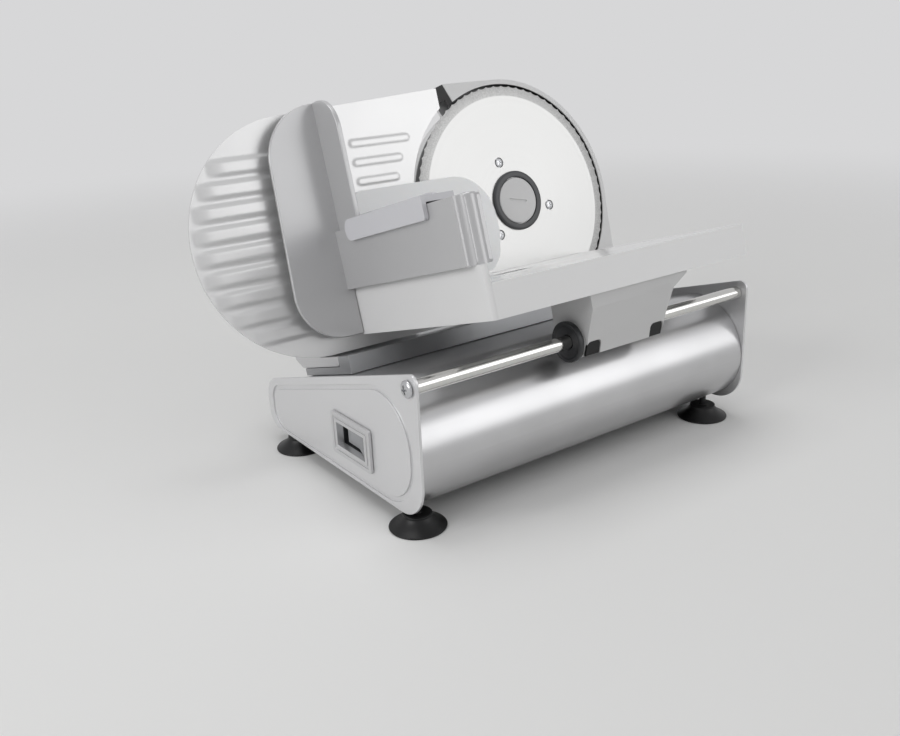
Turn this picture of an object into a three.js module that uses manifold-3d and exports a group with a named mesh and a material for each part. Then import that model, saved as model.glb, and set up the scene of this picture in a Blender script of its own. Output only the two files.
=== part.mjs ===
// Electric food slicer: tilted serrated blade, worm drive, sliding carriage and slice thickness gauge.
// All lengths are millimetres and all angles degrees.
import * as THREE from "three";
import { mergeVertices } from "three/addons/utils/BufferGeometryUtils.js";
import Module from "manifold-3d";

const wasm = await Module();
wasm.setup();

// Driving sizes
const tilt = 16.36;
const gap = 0.3;
const overrun = 6;
const chordSag = 0.25;
const mergeDistance = 0.0001;

// Base: places count from a corner point under the left end, x along the rod, y back, z up
const groundZ = 34;
const baseLeftX = 25;
const baseLength = 301;
const plateThickness = 2;
const plateFrontY = -123.4;
const plateRearY = 88.5;
const plateTopW = 103.8;
const baseBottomZ = 44.4;
const deckW = 98;
const shellWall = 2.5;
const shellInset = 0.6;

// Blade and its housing, in the tilted frame: v back across the blade, w up along it
const bladeRadius = 95;
const bladeThickness = 1.5;
const bladeX = 250;
const bladeW = 200;
const housingRadius = 100;
const housingLeftRadius = 88;
const housingFrontV = -1;
const housingBackV = 22;
const housingWall = 3;
const platformTopW = 112;
const platformLeftX = 56;
const platformFrontV = -20;
const platformBackV = 56;
const skirtThickness = 2.7;

// Rod that carries the carriage
const rodRadius = 4.7;
const rodV = -147.6;
const rodW = 95.2;

const baseRightX = baseLeftX + baseLength;
const innerLeftX = baseLeftX + plateThickness;
const innerRightX = baseRightX - plateThickness;
const tiltSin = Math.sin(THREE.MathUtils.degToRad(tilt));
const tiltCos = Math.cos(THREE.MathUtils.degToRad(tilt));

// Looks
function look(color, roughness, metalness) {
  return new THREE.MeshStandardMaterial({ color, roughness, metalness, flatShading: true });
}
const silverPaint = look(0xc9ccd0, 0.38, 0.6);
const lightPlastic = look(0xdadbdc, 0.35, 0.0);
const greyPlastic = look(0xb9babd, 0.3, 0.0);
const whitePlastic = look(0xf0f0f0, 0.35, 0.0);
const darkPlastic = look(0x2b2b2d, 0.5, 0.0);
const rubber = look(0x151515, 0.8, 0.0);
const chrome = look(0xe4e2de, 0.12, 1.0);
const steel = look(0xd4d6d8, 0.28, 1.0);
const brass = look(0xb08d4c, 0.35, 1.0);
const copper = look(0xa8663c, 0.4, 1.0);
const carbon = look(0x303030, 0.7, 0.2);

// The two frames: upright for the base, tilted for all that stands on its deck
const slicer = new THREE.Group();
const upright = new THREE.Group();
const tilted = new THREE.Group();
tilted.rotation.x = -THREE.MathUtils.degToRad(tilt);
slicer.add(upright, tilted);

// Solids and cuts
function toSolid(geometry) {
  const bare = geometry.clone();
  bare.deleteAttribute("normal");
  bare.deleteAttribute("uv");
  const merged = mergeVertices(bare, mergeDistance);
  const index = [];
  for (let i = 0; i < merged.index.count; i += 3) {
    const corner = [0, 1, 2].map((k) => merged.index.getX(i + k));
    if (new Set(corner).size === corner.length) index.push(...corner);
  }
  const vertProperties = new Float32Array(merged.attributes.position.array);
  return new wasm.Manifold(new wasm.Mesh({ numProp: 3, vertProperties, triVerts: new Uint32Array(index) }));
}

function piece(name, solid, material, frame) {
  const mesh = solid.getMesh();
  const geometry = new THREE.BufferGeometry();
  geometry.setAttribute("position", new THREE.BufferAttribute(new Float32Array(mesh.vertProperties), 3));
  geometry.setIndex(new THREE.BufferAttribute(new Uint32Array(mesh.triVerts), 1));
  geometry.computeVertexNormals();
  const part = new THREE.Mesh(geometry, material);
  part.name = name;
  frame.add(part);
  return part;
}

function addAll(solids) {
  return solids.reduce((whole, each) => whole.add(each));
}

function cutAll(solid, cuts) {
  return cuts.reduce((rest, cut) => rest.subtract(cut), solid);
}

// Number of facets of an arc that keep its chords within the sag
const coarsestShare = 0.3;
const fewestSides = 8;
function facetCount(radius, angle) {
  const step = 2 * Math.acos(1 - Math.min(chordSag / radius, coarsestShare));
  return Math.max(1, Math.ceil(THREE.MathUtils.degToRad(Math.abs(angle)) / step));
}

function arcPoints(a, b, radius, fromAngle, toAngle) {
  const count = facetCount(radius, toAngle - fromAngle);
  return Array.from({ length: count + 1 }, (_, i) => {
    const angle = THREE.MathUtils.degToRad(fromAngle + ((toAngle - fromAngle) * i) / count);
    return [a + radius * Math.cos(angle), b + radius * Math.sin(angle)];
  });
}

// An outline from corners [a, b, fillet radius]
function rounded(corners) {
  const points = [];
  corners.forEach(([a, b, radius], i) => {
    const corner = new THREE.Vector2(a, b);
    if (!radius) {
      points.push([a, b]);
      return;
    }
    const before = corners[(i + corners.length - 1) % corners.length];
    const after = corners[(i + 1) % corners.length];
    const toBefore = new THREE.Vector2(before[0], before[1]).sub(corner).normalize();
    const toAfter = new THREE.Vector2(after[0], after[1]).sub(corner).normalize();
    const half = Math.acos(THREE.MathUtils.clamp(toBefore.dot(toAfter), -1, 1)) / 2;
    const middle = toBefore.clone().add(toAfter).normalize();
    const centre = corner.clone().addScaledVector(middle, radius / Math.sin(half));
    const start = corner.clone().addScaledVector(toBefore, radius / Math.tan(half)).sub(centre);
    const turn = THREE.MathUtils.radToDeg(Math.PI - 2 * half) * Math.sign(toAfter.cross(toBefore));
    const from = THREE.MathUtils.radToDeg(start.angle());
    points.push(...arcPoints(centre.x, centre.y, radius, from, from + turn));
  });
  return points;
}

function rectangle(a0, a1, b0, b1, radius = 0) {
  return rounded([[a0, b0, radius], [a1, b0, radius], [a1, b1, radius], [a0, b1, radius]]);
}

function circle(a, b, radius) {
  return arcPoints(a, b, radius, 0, 360).slice(1);
}

function extruded(points, depth, holes = []) {
  const shape = new THREE.Shape(points.map(([a, b]) => new THREE.Vector2(a, b)));
  shape.holes = holes.map((hole) => new THREE.Path(hole.map(([a, b]) => new THREE.Vector2(a, b))));
  return new THREE.ExtrudeGeometry(shape, { depth, bevelEnabled: false });
}

const axisX = new THREE.Vector3(1, 0, 0);
const axisY = new THREE.Vector3(0, 1, 0);
const axisZ = new THREE.Vector3(0, 0, 1);

// An outline in (y, z) or (v, w), filled from one x to another
function alongX(points, from, to, holes) {
  const geometry = extruded(points, to - from, holes);
  geometry.applyMatrix4(new THREE.Matrix4().makeBasis(axisY, axisZ, axisX));
  return toSolid(geometry.translate(from, 0, 0));
}

// An outline in (x, w), filled from one v to another
function alongV(points, from, to, holes) {
  const geometry = extruded(points, to - from, holes);
  geometry.applyMatrix4(new THREE.Matrix4().makeBasis(axisX, axisZ, axisY.clone().negate()));
  return toSolid(geometry.translate(0, to, 0));
}

// An outline in (x, y), filled from one height to another
function alongW(points, from, to, holes) {
  return toSolid(extruded(points, to - from, holes).translate(0, 0, from));
}

function block(a0, a1, b0, b1, c0, c1) {
  const geometry = new THREE.BoxGeometry(a1 - a0, b1 - b0, c1 - c0);
  return toSolid(geometry.translate((a0 + a1) / 2, (b0 + b1) / 2, (c0 + c1) / 2));
}

// A turned profile of [radius, place along the axis] about an axis through a centre
function turned(profile, axis, [x, y, z]) {
  const widest = Math.max(...profile.map(([radius]) => radius));
  const points = profile.map(([radius, along]) => new THREE.Vector2(radius, along));
  const geometry = new THREE.LatheGeometry(points, Math.max(facetCount(widest, 360), fewestSides));
  const bases = { x: [axisZ, axisX, axisY], y: [axisX, axisY, axisZ], z: [axisY, axisZ, axisX] };
  geometry.applyMatrix4(new THREE.Matrix4().makeBasis(...bases[axis]));
  return toSolid(geometry.translate(x, y, z));
}

function barX(radius, from, to, v, w) {
  return turned([[0, from], [radius, from], [radius, to], [0, to]], "x", [0, v, w]);
}

function barV(radius, from, to, x, w) {
  return turned([[0, from], [radius, from], [radius, to], [0, to]], "y", [x, 0, w]);
}

function barW(radius, from, to, x, y) {
  return turned([[0, from], [radius, from], [radius, to], [0, to]], "z", [x, y, 0]);
}

function ringProfile(inner, outer, from, to) {
  return [[inner, from], [outer, from], [outer, to], [inner, to], [inner, from]];
}

// Height in the upright frame of a plane of the tilted frame
function heightAt(y, w) {
  return (w - y * tiltSin) / tiltCos;
}

// Base shell: a tube with a round front, a tilted deck and a mouth below
const shellFrontRadius = 42;
const shellToeRadius = 37.5;
const shellRearRadius = 20;
const shellHeelRadius = 12;
const mouthFrontY = -96;
const mouthRearY = 74;
const footRadius = 19;
const footStudRadius = 2.5;
const footStudHole = footStudRadius + gap;
const footLeftX = 33;
const footRightX = 304;
const footFrontY = -104;
const footRearY = 55;
const glandX = 285;
const glandZ = 62;
const glandRadius = 5.5;
const shellRearY = plateRearY - shellInset;

function baseOutline(inset, topW, frontRadius, rearRadius, heelRadius, toeRadius, floorZ) {
  const frontY = plateFrontY + inset;
  const rearY = plateRearY - inset;
  return rounded([
    [frontY, heightAt(frontY, topW), frontRadius],
    [frontY, floorZ, toeRadius],
    [rearY, floorZ, heelRadius],
    [rearY, heightAt(rearY, topW), rearRadius],
  ]);
}

function shellOutline(inset) {
  return baseOutline(shellInset + inset, deckW - inset, shellFrontRadius - inset, shellRearRadius - inset,
    shellHeelRadius - inset, shellToeRadius - inset, baseBottomZ + inset);
}

function makeBaseShell() {
  const left = innerLeftX + gap;
  const right = innerRightX - gap;
  const tube = alongX(shellOutline(0), left, right);
  const mouth = block(left - overrun, right + overrun, mouthFrontY, mouthRearY, baseBottomZ - overrun,
    baseBottomZ + shellWall + gap);
  const studHoles = [footLeftX, footRightX].map((x) =>
    barW(footStudHole, groundZ, groundZ + shellFrontRadius / 2, x, footFrontY));
  const glandHole = barV(glandRadius + gap, shellRearY - shellWall - overrun, shellRearY + overrun, glandX,
    glandZ);
  return cutAll(tube, [alongX(shellOutline(shellWall), left - overrun, right + overrun), mouth, glandHole,
    ...studHoles]);
}
piece("base_shell", makeBaseShell(), silverPaint, upright);

const bottomPlateThickness = 1.9;
function makeBottomPlate() {
  const fromZ = baseBottomZ + gap;
  const plate = block(innerLeftX + 2 * gap, innerRightX - 2 * gap, mouthFrontY + gap, mouthRearY - gap, fromZ,
    fromZ + bottomPlateThickness);
  const holes = [footLeftX, footRightX].map((x) =>
    barW(footStudHole, fromZ - overrun, fromZ + overrun, x, footRearY));
  return cutAll(plate, holes);
}
piece("bottom_plate", makeBottomPlate(), darkPlastic, upright);

// End plates with an embossed line that follows their outline
const plateTopRadius = 6;
const plateRearRadius = 20;
const plateHeelRadius = 14;
const plateToeRadius = 25;
const grooveWidth = 3;
const grooveDepth = 0.8;
const grooveInset = 8.4;
const grooveRearInset = 8;
const grooveDrop = 5.6;
const grooveLift = 2.6;
const grooveFrontRadius = 37;
const grooveToeRadius = 34;
const grooveRearRadius = 14;
const switchY = -42;
const switchZ = 74.5;
const switchLength = 36;
const switchHeight = 17;
const switchHoleMargin = 1;
const rodScrewRadius = 2;
const rodScrewHeadRadius = 5.6;
const rodScrewHeadHeight = 3;
const rodScrewDepth = 9;

const rodY = rodV * tiltCos + rodW * tiltSin;
const rodZ = rodW * tiltCos - rodV * tiltSin;

function switchRectangle(margin) {
  return rectangle(switchY - switchLength / 2 - margin, switchY + switchLength / 2 + margin,
    switchZ - switchHeight / 2 - margin, switchZ + switchHeight / 2 + margin);
}

function grooveOutline(inset) {
  const frontY = plateFrontY + grooveInset + inset;
  const rearY = plateRearY - grooveRearInset - inset;
  const top = plateTopW - grooveDrop - inset;
  const bottom = baseBottomZ + grooveLift + inset;
  return rounded([
    [frontY, heightAt(frontY, top), grooveFrontRadius - inset],
    [frontY, bottom, grooveToeRadius - inset],
    [rearY, bottom, grooveRearRadius - inset],
    [rearY, heightAt(rearY, top), grooveRearRadius - inset],
  ]);
}

function makeEndPlate(from, grooveFrom, cuts) {
  const outline = baseOutline(0, plateTopW, plateTopRadius, plateRearRadius, plateHeelRadius, plateToeRadius,
    baseBottomZ);
  const plate = alongX(outline, from, from + plateThickness);
  const groove = alongX(grooveOutline(0), grooveFrom, grooveFrom + grooveDepth + overrun, [
    grooveOutline(grooveWidth),
  ]);
  const screwHole = barX(rodScrewRadius + gap, from - overrun, from + plateThickness + overrun, rodY, rodZ);
  return cutAll(plate, [groove, screwHole, ...cuts]);
}

const switchHole = alongX(switchRectangle(switchHoleMargin), baseLeftX - overrun, innerLeftX + overrun);
piece("left_end_plate", makeEndPlate(baseLeftX, baseLeftX - overrun, [switchHole]), lightPlastic, upright);
piece("right_end_plate", makeEndPlate(innerRightX, baseRightX - grooveDepth, []), lightPlastic, upright);

// Guide rod held by a screw through each end plate
function makeRod() {
  const from = innerLeftX + gap;
  const to = innerRightX - gap;
  const bore = rodScrewRadius + gap;
  const depth = rodScrewDepth + gap;
  const rod = barX(rodRadius, from, to, rodV, rodW);
  return cutAll(rod, [
    barX(bore, from - overrun, from + depth, rodV, rodW),
    barX(bore, to - depth, to + overrun, rodV, rodW),
  ]);
}
piece("guide_rod", makeRod(), chrome, tilted);

const headCrownShares = [[1, 0.3], [0.72, 0.82], [0, 1]];
function makeRodScrew(side) {
  const seat = side < 0 ? baseLeftX - gap : baseRightX + gap;
  const tip = -plateThickness - rodScrewDepth;
  const crown = headCrownShares.map(([out, up]) => [rodScrewHeadRadius * out, rodScrewHeadHeight * up]);
  const profile = [[0, tip], [rodScrewRadius, tip], [rodScrewRadius, 0], [rodScrewHeadRadius, 0], ...crown];
  const turn = profile.map(([radius, along]) => [radius, side * along]);
  return turned(side < 0 ? turn.reverse() : turn, "x", [seat, rodV, rodW]);
}
piece("rod_screw_left", makeRodScrew(-1), steel, tilted);
piece("rod_screw_right", makeRodScrew(1), steel, tilted);

// Suction feet: a flared rubber cup, a waist and a stud up into the base
const footHeight = baseBottomZ - groundZ;
const footWaistRadius = 9;
const footStudTop = 8;
const footHollow = 1.6;
const footLip = 1.2;
const footRimWidth = 3;
const footBellShares = [0.52, 0.8];
function makeFoot(x, y) {
  const [bell, waist] = footBellShares.map((share) => footHeight * share);
  const shoulder = footHeight - gap;
  const profile = [
    [0, footHollow],
    [footRadius - footRimWidth, 0],
    [footRadius, 0],
    [footRadius, footLip],
    [footWaistRadius + footRimWidth, bell],
    [footWaistRadius, waist],
    [footWaistRadius, shoulder],
    [footStudRadius, shoulder],
    [footStudRadius, footHeight + footStudTop],
    [0, footHeight + footStudTop],
  ];
  return turned(profile, "z", [x, y, groundZ]);
}
[["front", footFrontY], ["rear", footRearY]].forEach(([end, y]) => {
  piece(`foot_${end}_left`, makeFoot(footLeftX, y), rubber, upright);
  piece(`foot_${end}_right`, makeFoot(footRightX, y), rubber, upright);
});

// Cord gland in the rear wall
const glandFlange = 2.5;
const glandWall = 2.3;
const glandReach = 4;
const glandTail = 3;
function makeGland() {
  const bore = glandRadius - glandWall;
  const flange = glandRadius + glandFlange;
  const inner = -shellWall - glandTail;
  const profile = [
    [bore, inner],
    [glandRadius, inner],
    [glandRadius, gap],
    [flange, gap],
    [flange - glandFlange / 2, glandReach],
    [bore, glandReach],
    [bore, inner],
  ];
  return turned(profile, "y", [glandX, shellRearY, glandZ]);
}
piece("cord_gland", makeGland(), rubber, upright);

// Switch in the left end plate
const bezelLength = 50;
const bezelHeight = 31;
const bezelThickness = 2.2;
const bezelRadius = 2;
const bezelCollar = 0.7;
const bezelTail = 3;
const rockerDepth = 8;
const rockerHalf = 15.5;
const rockerSwing = 20;
const rockerBody = 3;
const rockerSet = 0.6;
const switchDepth = 23;
const switchWall = 1.5;
const switchPocket = 14;

function makeBezel() {
  const frame = rectangle(switchY - bezelLength / 2, switchY + bezelLength / 2, switchZ - bezelHeight / 2,
    switchZ + bezelHeight / 2, bezelRadius);
  const face = alongX(frame, baseLeftX - gap - bezelThickness, baseLeftX - gap, [switchRectangle(0)]);
  const collar = alongX(switchRectangle(bezelCollar), baseLeftX - bezelThickness, baseLeftX + bezelTail, [
    switchRectangle(0),
  ]);
  return face.add(collar);
}
piece("switch_bezel", makeBezel(), silverPaint, upright);

function makeSwitchBody() {
  const from = baseLeftX + bezelTail + gap;
  const body = alongX(switchRectangle(switchWall), from, from + switchDepth);
  return body.subtract(alongX(switchRectangle(0), from - overrun, from + switchPocket));
}
piece("switch_body", makeSwitchBody(), darkPlastic, upright);

// The rocker is a shallow V that turns about an upright pin behind its middle
function makeRocker() {
  const front = switchY - rockerHalf;
  const back = switchY + rockerHalf;
  const lean = 2 * rockerHalf * Math.tan(THREE.MathUtils.degToRad(rockerSwing / 2));
  const faceX = baseLeftX - rockerSet;
  const pivotX = baseLeftX + rockerDepth;
  const outline = [
    [faceX, front],
    [pivotX - rockerBody - rockerSet, switchY],
    [faceX + lean, back],
    [faceX + lean + rockerBody, back],
    [pivotX + rockerBody, switchY],
    [faceX + rockerBody + rockerSet, front],
  ];
  const height = switchHeight / 2 - 2 * gap;
  return alongW(outline, switchZ - height, switchZ + height);
}
piece("switch_rocker", makeRocker(), greyPlastic, upright);

// Platform on the deck, with a slot for the lower edge of the blade and a step for the gauge tower's skirt
const bladeSlotRadius = 96.3;
const bladeSlotReach = 2;
const recessBackV = 5;
const skirtFrontV = -2.5;
const skirtBottomW = 104.3;
function makePlatform() {
  const right = innerRightX - 2 * gap;
  const step = platformLeftX + skirtThickness + gap;
  const outside = block(platformLeftX, right, platformFrontV, platformBackV, deckW + gap, platformTopW);
  const inside = block(step + housingWall, right - housingWall, platformFrontV + housingWall,
    platformBackV - housingWall, deckW - overrun, platformTopW - housingWall);
  const skirtStep = block(platformLeftX - overrun, step, skirtFrontV - gap, platformBackV + overrun,
    skirtBottomW - gap, platformTopW + overrun);
  const slotFrontV = housingFrontV - bladeThickness - bladeSlotReach;
  const slot = barV(bladeSlotRadius, slotFrontV, recessBackV, bladeX, bladeW);
  return cutAll(outside, [inside, slot, skirtStep]);
}
piece("drive_platform", makePlatform(), silverPaint, tilted);

// Blade housing: a dish with a rim round the blade and a back open to the drive
const cutTopX = 199.8;
const cutTopAngle = 117;
const housingFootX = 222;
const housingRightX = 347.5;
const housingShoulderDrop = 49.5;
const bearingRadius = 14;
const bearingBore = 6;
const bearingWidth = 8;
const bearingFrontV = 10;
const bearingSeatWall = 3.5;
const coverScrewRadius = 1.6;
const coverBossRadius = 4.5;
const coverScrewDepth = 11;
const bossInset = 11;
const wheelV = 37;
const wormDistance = 37;
const wormW = bladeW - wormDistance;
const fieldRadius = 27;
const fieldFromX = 284;
const fieldToX = 314;
const cradleInset = 4;
const cradleHalf = 19;
const seatOverlap = 1;

// Three cover screws stand a boss inset inside the round edge, at these turns, and one over the foot
const coverScrewAngles = [141, 62, 219];
const footScrewInset = 29.5;
const footScrewLift = 8.5;
const coverScrewPlaces = coverScrewAngles.map((angle) => {
  const turn = THREE.MathUtils.degToRad(angle);
  const reach = (angle > 90 ? housingLeftRadius : housingRadius) - bossInset;
  return [bladeX + reach * Math.cos(turn), bladeW + reach * Math.sin(turn)];
});
coverScrewPlaces.push([housingRightX - footScrewInset, platformTopW + footScrewLift]);

function housingOutline(inset) {
  const left = housingLeftRadius - inset;
  const right = housingRadius - inset;
  const foot = platformTopW + gap + inset;
  const footLeft = housingFootX + inset;
  const turn = THREE.MathUtils.radToDeg(Math.acos((bladeX - footLeft) / left));
  const cut = THREE.MathUtils.degToRad(cutTopAngle);
  return [
    ...arcPoints(bladeX, bladeW, right, 0, 90),
    [cutTopX + inset, bladeW + right],
    [bladeX + bladeSlotRadius * Math.cos(cut), bladeW + bladeSlotRadius * Math.sin(cut) - inset],
    ...arcPoints(bladeX, bladeW, left, cutTopAngle, 180 + turn),
    [footLeft, foot],
    [housingRightX - inset, foot],
    [housingRightX - inset, bladeW - housingShoulderDrop],
  ];
}

function makeHousing() {
  const body = alongV(housingOutline(0), housingFrontV, housingBackV);
  const wallBack = recessBackV + housingWall;
  const rootV = wallBack - seatOverlap;
  const seatEnd = bearingFrontV + bearingWidth;
  const seat = barV(bearingRadius + gap + bearingSeatWall, rootV, seatEnd, bladeX, bladeW);
  const bosses = coverScrewPlaces.map(([x, w]) => barV(coverBossRadius, rootV, housingBackV, x, w));
  const cradle = block(fieldFromX + cradleInset, fieldToX - cradleInset, rootV, housingBackV,
    wormW - cradleHalf, wormW + cradleHalf);
  const inside = alongV(housingOutline(housingWall), wallBack, housingBackV + overrun);
  const front = barV(bladeSlotRadius, housingFrontV - overrun, recessBackV, bladeX, bladeW);
  const spindleHole = barV(bearingRadius + gap, recessBackV - seatOverlap, seatEnd + overrun, bladeX, bladeW);
  const screwHoles = coverScrewPlaces.map(([x, w]) =>
    barV(coverScrewRadius + gap, housingBackV - coverScrewDepth, housingBackV + overrun, x, w));
  const fieldSeat = barX(fieldRadius + gap, fieldFromX - overrun, fieldToX + overrun, wheelV, wormW);
  const shellBody = addAll([body.subtract(inside), seat, cradle, ...bosses]);
  return cutAll(shellBody, [front, spindleHole, fieldSeat, ...screwHoles]);
}
piece("blade_housing", makeHousing(), lightPlastic, tilted);

// Motor cover: a flange over the housing's back and a vented bulge round the drive
const coverFlange = 3;
const coverWall = 2.8;
const bulgeLeftX = 208;
const bulgeRightX = 343;
const bulgeBottomW = 129;
const bulgeTopW = 240;
const bulgeBackV = 68;
const bulgeEdge = 7;
const bulgeRadius = 34;
const bulgeStepShares = [[0, 1], [0.3, 0.35], [1, 0]];
const bearingBackV = 52;
const ventCount = 7;
const ventWidth = 3;
const ventPitch = 7.5;
const ventLength = 34;
const bushRadius = 7;
const bushWall = 1;
const shaftRadius = 4;
const bushLength = 6;
const bushWormEndX = 225;
const bushMiddleX = 266;
const bushRearX = 331;
const bushPlaces = [bushWormEndX, bushMiddleX, bushRearX];

function bulgeOutline(inset) {
  return rectangle(bulgeLeftX + inset, bulgeRightX - inset, bulgeBottomW + inset, bulgeTopW - inset,
    bulgeRadius - inset);
}

function makeCover() {
  const flangeFrom = housingBackV + gap;
  const flangeTo = flangeFrom + coverFlange;
  const flange = alongV(housingOutline(0), flangeFrom, flangeTo);
  const steps = bulgeStepShares.map(([inward, forward]) =>
    alongV(bulgeOutline(bulgeEdge * inward), flangeFrom, bulgeBackV - bulgeEdge * forward));
  const inside = alongV(bulgeOutline(coverWall), flangeFrom - overrun, bulgeBackV - bulgeEdge - coverWall);
  const insideBack = alongV(bulgeOutline(bulgeEdge + coverWall), flangeFrom, bulgeBackV - coverWall);
  const postEnd = bulgeBackV - seatOverlap;
  const seat = barV(bearingRadius + gap + bearingSeatWall, bearingBackV, postEnd, bladeX, bladeW);
  const post = bushRadius + bushWall;
  const bushPosts = bushPlaces.map((x) =>
    block(x, x + bushLength, wheelV, postEnd, wormW - post, wormW + post));
  const shell = cutAll(addAll([flange, ...steps]), [inside, insideBack]);
  const vents = Array.from({ length: ventCount }, (_, i) => {
    const x = fieldFromX + (i - 2) * ventPitch;
    const middle = wormW - ventPitch;
    return alongV(rectangle(x, x + ventWidth, middle - ventLength / 2, middle + ventLength / 2),
      bulgeBackV - bulgeEdge, bulgeBackV + overrun);
  });
  const bushHoles = bushPlaces.map((x) =>
    barX(bushRadius + gap, x - overrun / 2, x + bushLength + overrun / 2, wheelV, wormW));
  return cutAll(addAll([shell, seat, ...bushPosts]), [
    barV(bearingRadius + gap, bearingBackV - overrun, bearingBackV + bearingWidth + gap, bladeX, bladeW),
    ...bushHoles,
    ...vents,
    ...coverScrewPlaces.map(([x, w]) => barV(coverScrewRadius + gap, flangeFrom - gap, flangeTo + gap, x, w)),
  ]);
}
piece("motor_cover", makeCover(), lightPlastic, tilted);

const coverScrewHead = 3.4;
const coverScrewHeadHeight = 2;
coverScrewPlaces.forEach(([x, w], i) => {
  const seat = housingBackV + 2 * gap + coverFlange;
  const tip = housingBackV - coverScrewDepth + gap;
  const top = seat + coverScrewHeadHeight;
  const profile = [[0, tip], [coverScrewRadius, tip], [coverScrewRadius, seat], [coverScrewHead, seat],
    [coverScrewHead, seat + coverScrewHeadHeight / 2], [coverScrewHead / 2, top], [0, top]];
  piece(`cover_screw_${i + 1}`, turned(profile, "y", [x, 0, w]), steel, tilted);
});

// Blade with scalloped edge and a front bevel
const scallopCount = 76;
const scallopDepth = 1;
const bevelRadius = 86.5;
const edgeThickness = 0.35;
const edgeMargin = 1;
const hubPinRadius = 5;
const bladeScrewRadius = 1.9;
const bladeScrewCircle = 34.5;
const bladeScrewHead = 3.8;
const bladeScrewAngles = [108, -14, -133];
const scallopShares = [0, 0.9, 0.9];
const bladeFrontV = -bladeThickness;

function screwPlace(angle) {
  const turn = THREE.MathUtils.degToRad(angle);
  return [bladeX + bladeScrewCircle * Math.cos(turn), bladeW + bladeScrewCircle * Math.sin(turn)];
}

function makeBlade() {
  const outer = bladeRadius + edgeMargin;
  const profile = [[0, bladeFrontV], [bevelRadius, bladeFrontV], [outer, -edgeThickness], [outer, 0], [0, 0]];
  const steps = scallopShares.length;
  const edge = Array.from({ length: scallopCount * steps }, (_, i) => {
    const angle = (2 * Math.PI * i) / (scallopCount * steps);
    const radius = bladeRadius - scallopDepth * scallopShares[i % steps];
    return [bladeX + radius * Math.cos(angle), bladeW + radius * Math.sin(angle)];
  });
  const disc = turned(profile, "y", [bladeX, 0, bladeW]);
  const screwHoles = bladeScrewAngles.map((angle) => {
    const [x, w] = screwPlace(angle);
    const head = bladeScrewHead + gap;
    const shank = bladeScrewRadius + gap;
    const countersink = [[0, -overrun], [head, -overrun], [head, bladeFrontV], [shank, 0], [shank, overrun],
      [0, overrun]];
    return turned(countersink, "y", [x, 0, w]);
  });
  return cutAll(disc.intersect(alongV(edge, -overrun, overrun)), [
    barV(hubPinRadius + gap, -overrun, overrun, bladeX, bladeW),
    ...screwHoles,
  ]);
}
piece("blade", makeBlade(), steel, tilted);

const bladeScrewEnd = 4;
bladeScrewAngles.forEach((angle, i) => {
  const [x, w] = screwPlace(angle);
  const profile = [[0, bladeFrontV], [bladeScrewHead, bladeFrontV], [bladeScrewRadius, 0],
    [bladeScrewRadius, bladeScrewEnd], [0, bladeScrewEnd]];
  piece(`blade_screw_${i + 1}`, turned(profile, "y", [x, 0, w]), steel, tilted);
});

// Hub ring and the lock disc with its coin slot
const hubRingRadius = 24.5;
const hubRingInner = 19.3;
const hubRingHeight = 2;
const hubDiscHeight = 1.6;
const hubSlotLength = 18;
const hubSlotWidth = 1.8;
const hubSlotDepth = 1;
const hubPinEnd = 4.4;
const hubSeatV = bladeFrontV - gap;
piece("hub_ring", turned(ringProfile(hubRingInner, hubRingRadius, hubSeatV - hubRingHeight, hubSeatV), "y",
  [bladeX, 0, bladeW]), darkPlastic, tilted);

function makeHubLock() {
  const discRadius = hubRingInner - gap;
  const front = hubSeatV - hubDiscHeight;
  const profile = [[0, front], [discRadius, front], [discRadius, hubSeatV], [hubPinRadius, hubSeatV],
    [hubPinRadius, hubPinEnd], [0, hubPinEnd]];
  const slot = block(bladeX - hubSlotLength / 2, bladeX + hubSlotLength / 2, front - overrun,
    front + hubSlotDepth, bladeW - hubSlotWidth / 2, bladeW + hubSlotWidth / 2);
  return turned(profile, "y", [bladeX, 0, bladeW]).subtract(slot);
}
piece("hub_lock", makeHubLock(), lightPlastic, tilted);

// Blade carrier: flange, spindle and the bore for the lock pin
const carrierRadius = 42;
const carrierFlange = 3.5;
const carrierNeck = 4;
const carrierStep = 1;
const spindleRadius = bearingBore;
const spindleEnd = bearingBackV + bearingWidth - carrierStep;
function makeCarrier() {
  const back = gap + carrierFlange;
  const neck = spindleRadius + carrierNeck;
  const shaft = spindleRadius - gap;
  const profile = [[0, gap], [carrierRadius, gap], [carrierRadius, back], [neck, back],
    [neck - carrierStep, bearingFrontV - gap], [shaft, bearingFrontV - gap], [shaft, spindleEnd],
    [0, spindleEnd]];
  const bores = bladeScrewAngles.map((angle) => {
    const [x, w] = screwPlace(angle);
    return barV(bladeScrewRadius + gap, -overrun, bladeScrewEnd + overrun, x, w);
  });
  return cutAll(turned(profile, "y", [bladeX, 0, bladeW]), [
    barV(hubPinRadius + gap, -overrun, hubPinEnd + gap, bladeX, bladeW),
    ...bores,
  ]);
}
piece("blade_carrier", makeCarrier(), steel, tilted);

const raceWidth = 2.2;
const raceGroove = 0.6;
const raceBevel = 0.4;
[["front", bearingFrontV], ["rear", bearingBackV]].forEach(([place, from]) => {
  const inner = bearingBore + raceWidth;
  const outer = bearingRadius - raceWidth;
  const profile = [[bearingBore, from], [inner, from], [inner + raceBevel, from + raceGroove],
    [outer - raceBevel, from + raceGroove], [outer, from], [bearingRadius, from],
    [bearingRadius, from + bearingWidth], [bearingBore, from + bearingWidth], [bearingBore, from]];
  piece(`bearing_${place}`, turned(profile, "y", [bladeX, 0, bladeW]), steel, tilted);
});

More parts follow.
